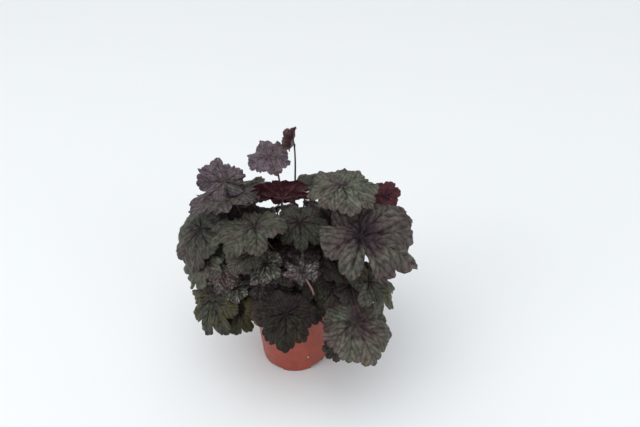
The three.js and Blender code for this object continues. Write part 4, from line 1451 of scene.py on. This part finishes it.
class CORAL_OT_peat(bpy.types.Operator):
    """Makes the lumpy peat that fills the pot"""

    bl_idname = "coral.peat"
    bl_label = "Peat"

    def execute(self, context):
        turns, rings, outer = PEAT["turns"], PEAT["rings"], PEAT["radius"]
        turn, here, there = circle(turns)
        points = []
        for k in range(rings + 1):
            x, y = outer * (k / rings) * np.cos(turn), outer * (k / rings) * np.sin(turn)
            z = PEAT["edge"] + PEAT["dome"] * (1 - (k / rings) ** 3) + self.lumps(x, y)
            points.append(np.stack([x, y, np.minimum(z, PEAT["highest"])], -1))
        points[0] = points[0][:1]
        for share, level in PEAT["side_rings"]:
            r = share * outer
            points.append(np.stack([r * np.cos(turn), r * np.sin(turn), np.full(turns, level)], -1))
        points = np.concatenate([*points, [[0, 0, PEAT["bottom"]]]])
        faces = [[0, 1 + a, 1 + b] for a, b in zip(here, there)]
        starts = [1 + k * turns for k in range(rings + len(PEAT["side_rings"]))]
        for k, (first, second) in enumerate(zip(starts, starts[1:])):
            for a, b in zip(here, there):
                face = [first + a, second + a, second + b, first + b]
                faces.append(face if k + 1 < rings else [face[3], *face[:3]])
        faces.extend([starts[-1] + b, starts[-1] + a, len(points) - 1] for a, b in zip(here, there))
        build = bmesh.new()
        corners = [build.verts.new(point) for point in points]
        for face in faces:
            build.faces.new([corners[i] for i in face]).smooth = True
        bmesh.ops.recalc_face_normals(build, faces=build.faces)
        finished(built("fine_peat", build, peat_skin(context.scene.coral_peat)), "soil")
        return {"FINISHED"}

    @staticmethod
    def lumps(x, y):
        total, waves = np.zeros_like(x), PEAT["waves"]
        for k, (pace, height) in enumerate(PEAT["lumps"]):
            for j in range(waves):
                way, start = (draw(seed + k, j) for seed in PEAT["seeds"])
                total += height / waves * plane_wave(x, y, pace, way, start)
        return total


def peat_skin(sizes):
    """Dark moist peat with paler fibres."""
    paint = Paint("peat")
    grain, clump = paint.noise(700, 6, 0.7), paint.noise(150, 3)
    fibre = paint.streaks((900, 180, 900), 3.0, 1.2)
    pale = 0.7 * paint.smooth(fibre, 0.6, 0.75)
    colour = paint.mingled(grain, sizes.peat_colour, 0.35, 1.8, (pale, 3.4))
    height = grain + 0.8 * clump + 0.5 * fibre
    return paint.finish(colour, 0.9 - 0.2 * clump, paint.bump(height, 0.0012))


def grow_grains(name, host, size, density, flatness, seed, material):
    """Loose angular grains over the faces of a host's mesh that lie above a given height."""
    growth = Growth(name, {
        "Size": ("Float", size), "Density": ("Float", density), "Flatness": ("Float", flatness),
        "Lowest": ("Float", PEAT["strewn_above"]), "Seed": ("Int", seed), "Material": ("Material", material),
    })
    given_seed = growth.given["Seed"]
    level = growth.part(growth.node("GeometryNodeInputPosition"), "Z")
    selection = growth.node("FunctionNodeCompare", {"data_type": "FLOAT", "operation": "GREATER_THAN"}, {
        "A": level, "B": growth.given["Lowest"],
    })
    points, rotation = growth.scatter(selection, given_seed)
    grain = growth.node("GeometryNodeMeshIcoSphere", None, {"Radius": 0.5, "Subdivisions": 1}, "Mesh")
    jolt = growth.random((-0.16, -0.16, -0.16), (0.16, 0.16, 0.16), given_seed + 1)
    grain = growth.node("GeometryNodeSetPosition", None, {"Geometry": grain, "Offset": jolt})
    turned_by = growth.random((0.0, 0.0, 0.0), (0.5, 0.5, 6.28), given_seed + 2)
    width = growth.given["Size"] * growth.random(0.45, 1.35, given_seed + 3)
    long_side = width * growth.random(0.7, 1.5, given_seed + 4)
    scale = growth.node("ShaderNodeCombineXYZ", None, {
        "X": width, "Y": long_side, "Z": width * growth.given["Flatness"],
    })
    growth.place(points, grain, growth.turn(rotation, turned_by), scale)
    finished(growth.grow(placed(name, host.data.copy())), None)


class CORAL_OT_crumbs(bpy.types.Operator):
    """Strews crumbs and perlite grains over the peat, by Geometry Nodes"""

    bl_idname = "coral.crumbs"
    bl_label = "Crumbs and Perlite"

    def execute(self, context):
        sizes = context.scene.coral_peat
        host = bpy.data.objects["fine_peat"]
        paint = Paint("perlite")
        tone = paint.noise(1300, 3)
        white = paint.mingled(tone, sizes.grain_colour, 0.75, 1)
        perlite = paint.finish(white, 0.8 + 0.1 * tone, paint.bump(tone, 0.0003))
        peat = host.data.materials[0]
        grow_grains("peat_crumbs", host, sizes.crumb_size, sizes.crumb_density, 0.7, 7, peat)
        grow_grains("perlite_grains", host, sizes.grain_size, sizes.grain_density, 0.85, 23, perlite)
        self.stuck_grain(context.scene.coral_pot)
        return {"FINISHED"}

    @staticmethod
    def stuck_grain(sizes):
        paint = Paint("stuck perlite")
        white = paint.mingled(paint.noise(1500, 2), sizes.speck_colour, 0.8, 1)
        build = bmesh.new()
        bmesh.ops.create_icosphere(build, subdivisions=2, radius=1)
        for number, vert in enumerate(build.verts):
            vert.co *= (STUCK_GRAIN["radius"] + STUCK_GRAIN["uneven"] * draw(number, 2)) * MM
            for axis, place in enumerate(STUCK_GRAIN["at"]):
                vert.co[axis] += place
        finished(built("stuck_grain", build, paint.finish(white, 0.7)), None)


class CORAL_OT_crown(bpy.types.Operator):
    """Makes the woody crown that the petioles grow from"""

    bl_idname = "coral.crown"
    bl_label = "Crown"

    def execute(self, context):
        profile = rounded([(r * MM, z * MM) for r, z in CROWN["profile"]], CROWN["corner"] * MM, 5)
        dense = [profile[0]]
        for before, after in zip(profile, profile[1:]):
            pieces = max(1, round(np.linalg.norm(after - before) / (CROWN["step"] * MM)))
            dense.extend(before + (after - before) * (k + 1) / pieces for k in range(pieces))
        points, faces = turned(dense, CROWN["sides"])
        x, y, level = points.T
        turn, radius = np.arctan2(y, x), np.hypot(x, y)
        knots = sum(
            height * np.sin(around * turn + start + pace * level / (CROWN["knot_length"] * MM))
            for height, around, start, pace in CROWN["knots"]
        )
        ridge = CROWN["ridges"]
        bend = ridge["bend"] * np.sin(ridge["bends"] * turn)
        ridges = ridge["height"] * np.sin(level / (ridge["length"] * MM) + bend)
        move = (knots + ridges) * CROWN["relief"] * MM * np.clip(radius / (CROWN["middle"] * MM), 0, 1)
        for axis, way in enumerate((np.cos(turn), np.sin(turn))):
            points[:, axis] += way * (move - CROWN["shrink"] * MM) * (radius > 1e-6)
        triangles = [part for face in faces for part in (face[:3], [face[0], *face[2:]]) if len(part) == 3]
        bark = self.bark(context.scene.coral_peat)
        finished(mesh_object("fine_crown", points, triangles, [bark]), "crown")
        return {"FINISHED"}

    @staticmethod
    def bark(sizes):
        paint = Paint("crown bark")
        grain, rings = paint.noise(500, 5, 0.65), paint.streaks((200, 200, 1400), 4.0)
        colour = paint.mingled(rings, sizes.crown_colour, 0.35, 1.7, (0.4 * grain, 0.3))
        return paint.finish(colour, 0.85, paint.bump(grain + 1.5 * rings, 0.0008))


class CORAL_OT_scales(bpy.types.Operator):
    """Sets papery brown scales on the crown, by Geometry Nodes"""

    bl_idname = "coral.scales"
    bl_label = "Crown Scales"

    def execute(self, context):
        sizes = context.scene.coral_peat
        paint = Paint("papery scale")
        streak = paint.noise(900, 4, 0.65)
        dry = paint.mingled(streak, sizes.scale_colour, 0.45, 1.3)
        material = paint.finish(dry, 0.7 + 0.2 * streak, paint.bump(streak, 0.0003))
        growth = Growth("crown_scales", {
            "Length": ("Float", sizes.scale_length), "Density": ("Float", sizes.scale_density),
            "Lean": ("Float", 1.15), "Seed": ("Int", 5), "Material": ("Material", material),
        })
        seed = growth.given["Seed"]
        points, rotation = growth.scatter(None, seed)
        sheet = growth.node("GeometryNodeMeshGrid", None, {
            "Size X": 1.0, "Size Y": 1.0, "Vertices X": 4, "Vertices Y": 6,
        }, "Mesh")
        place = growth.node("GeometryNodeInputPosition")
        side, along = growth.part(place, "X"), growth.part(place, "Y") + 0.5
        width = 0.62 * (1 - along ** 2.2) + 0.04
        hollow = 0.5 * side * side - 0.18 * along * along
        bent = growth.node("ShaderNodeCombineXYZ", None, {"X": side * width, "Y": along, "Z": hollow})
        sheet = growth.node("GeometryNodeSetPosition", None, {"Geometry": sheet, "Position": bent})
        lean = growth.node("ShaderNodeCombineXYZ", None, {
            "X": growth.given["Lean"] * growth.random(0.7, 1.2, seed + 1), "Y": 0.0,
            "Z": growth.random(-0.5, 0.5, seed + 2),
        })
        scale = growth.given["Length"] * growth.random(0.6, 1.2, seed + 3)
        growth.place(points, sheet, growth.turn(rotation, lean), scale)
        host = bpy.data.objects["fine_crown"]
        finished(growth.grow(placed("crown_scales", host.data.copy())), None)
        return {"FINISHED"}


class CORAL_OT_hairs(bpy.types.Operator):
    """Covers the petioles with short fine hairs, by Geometry Nodes"""

    bl_idname = "coral.hairs"
    bl_label = "Petiole Hairs"

    def execute(self, context):
        sizes = context.scene.coral_leaves
        paint = Paint("petiole hair")
        tone = paint.noise(300, 2)
        material = paint.finish(paint.mingled(tone, sizes.hair_colour, 0.6, 1), 0.5 + 0.1 * tone)
        growth = Growth("petiole_hairs", {
            "Length": ("Float", sizes.hair_length), "Radius": ("Float", sizes.hair_radius),
            "Density": ("Float", sizes.hair_density), "Seed": ("Int", 11), "Material": ("Material", material),
        })
        seed = growth.given["Seed"]
        points, rotation = growth.scatter(None, seed)
        hair = growth.node("GeometryNodeMeshCone", {"fill_type": "NONE"}, {
            "Vertices": 3, "Radius Top": 0.0, "Radius Bottom": growth.given["Radius"],
            "Depth": growth.given["Length"],
        }, "Mesh")
        lean = growth.random((-0.5, -0.5, 0.0), (0.5, 0.5, 6.28), seed + 1)
        growth.place(points, hair, growth.turn(rotation, lean), growth.random(0.5, 1.2, seed + 2))
        points, faces, start = [], [], 0
        places, sides = root_places(), PETIOLE["sides_under_hairs"]
        for leaf in LEAVES:
            stalk, triangles = petiole_tube(leaf, places[leaf["name"]], sizes, sides, FINE["steps"])
            points.append(stalk)
            faces.append(triangles + start)
            start += len(stalk)
        stalks = mesh_object("petiole_hairs", np.concatenate(points), np.concatenate(faces), [])
        finished(growth.grow(stalks), None)
        return {"FINISHED"}


class CORAL_OT_leaves(bpy.types.Operator):
    """Makes the fine leaves, each one a blade on its petiole"""

    bl_idname = "coral.leaves"
    bl_label = "Leaves"

    def execute(self, context):
        sizes = context.scene.coral_leaves
        under, stalk = under_face(sizes), petiole_skin(sizes)
        purple, young = sizes.purple_colour, sizes.young_colour
        green, red = sizes.green_colour, sizes.margin_colour
        uppers = {
            "leaf_grey_green": upper_face("leaf grey-green", sizes, purple, green, red, 0.46),
            "leaf_purple": upper_face("leaf purple", sizes, scaled(purple, 1.05), green, red, 0.44),
            "leaf_young": upper_face("leaf young", sizes, young, scaled(green, 1.1), scaled(red, 1.6), 0.36),
        }
        places = root_places()
        for leaf in LEAVES:
            slot = slot_of(leaf)
            parts = [leaf_parts(leaf, places[leaf["name"]], sizes)]
            obj = leaf_piece("fine_leaf_" + leaf["name"], parts, [uppers[slot], under, stalk])
            finished(obj, "leaf_" + leaf["name"])
        parts = [
            leaf_parts(leaf, leaving(compass_of(leaf), **INNER_ROOT), sizes, COARSE)
            for leaf in inner_leaves()
        ]
        obj = leaf_piece("inner_leaves", parts, [uppers["leaf_purple"], under, stalk])
        finished(obj, None)
        return {"FINISHED"}


class CORAL_PT_panel(bpy.types.Panel):
    """Lists the makers of the plant's pieces and their settings"""

    bl_idname = "CORAL_PT_panel"
    bl_label = "Potted Coral Bells"
    bl_space_type = "VIEW_3D"
    bl_region_type = "UI"
    bl_category = "Coral Bells"

    def draw(self, context):
        scene = context.scene
        sections = (
            (scene.coral_stage, ("coral.stage",)),
            (scene.coral_pot, ("coral.pot",)),
            (scene.coral_peat, ("coral.peat", "coral.crumbs", "coral.crown", "coral.scales")),
            (scene.coral_leaves, ("coral.leaves", "coral.hairs")),
        )
        for group, makers in sections:
            box = self.layout.box()
            for maker in makers:
                box.operator(maker)
            for name in group.bl_rna.properties.keys():
                if name not in ("rna_type", "name"):
                    box.prop(group, name)


GROUPS = {
    "coral_stage": CoralBellsStage,
    "coral_pot": CoralBellsPot,
    "coral_peat": CoralBellsPeat,
    "coral_leaves": CoralBellsLeaves,
}
OPERATORS = (
    CORAL_OT_stage, CORAL_OT_pot, CORAL_OT_peat, CORAL_OT_crumbs, CORAL_OT_crown, CORAL_OT_scales,
    CORAL_OT_leaves, CORAL_OT_hairs,
)


def register():
    for name, group in GROUPS.items():
        bpy.utils.register_class(group)
        setattr(bpy.types.Scene, name, PointerProperty(type=group))
    for operator in OPERATORS:
        bpy.utils.register_class(operator)
    bpy.utils.register_class(CORAL_PT_panel)


def unregister():
    bpy.utils.unregister_class(CORAL_PT_panel)
    for operator in reversed(OPERATORS):
        bpy.utils.unregister_class(operator)
    for name, group in reversed(GROUPS.items()):
        delattr(bpy.types.Scene, name)
        bpy.utils.unregister_class(group)


def main():
    register()
    bpy.ops.coral.stage()
    bpy.ops.coral.pot()
    bpy.ops.coral.peat()
    bpy.ops.coral.crumbs()
    bpy.ops.coral.crown()
    bpy.ops.coral.scales()
    bpy.ops.coral.leaves()
    bpy.ops.coral.hairs()
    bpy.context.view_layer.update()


if __name__ == "__main__":
    main()
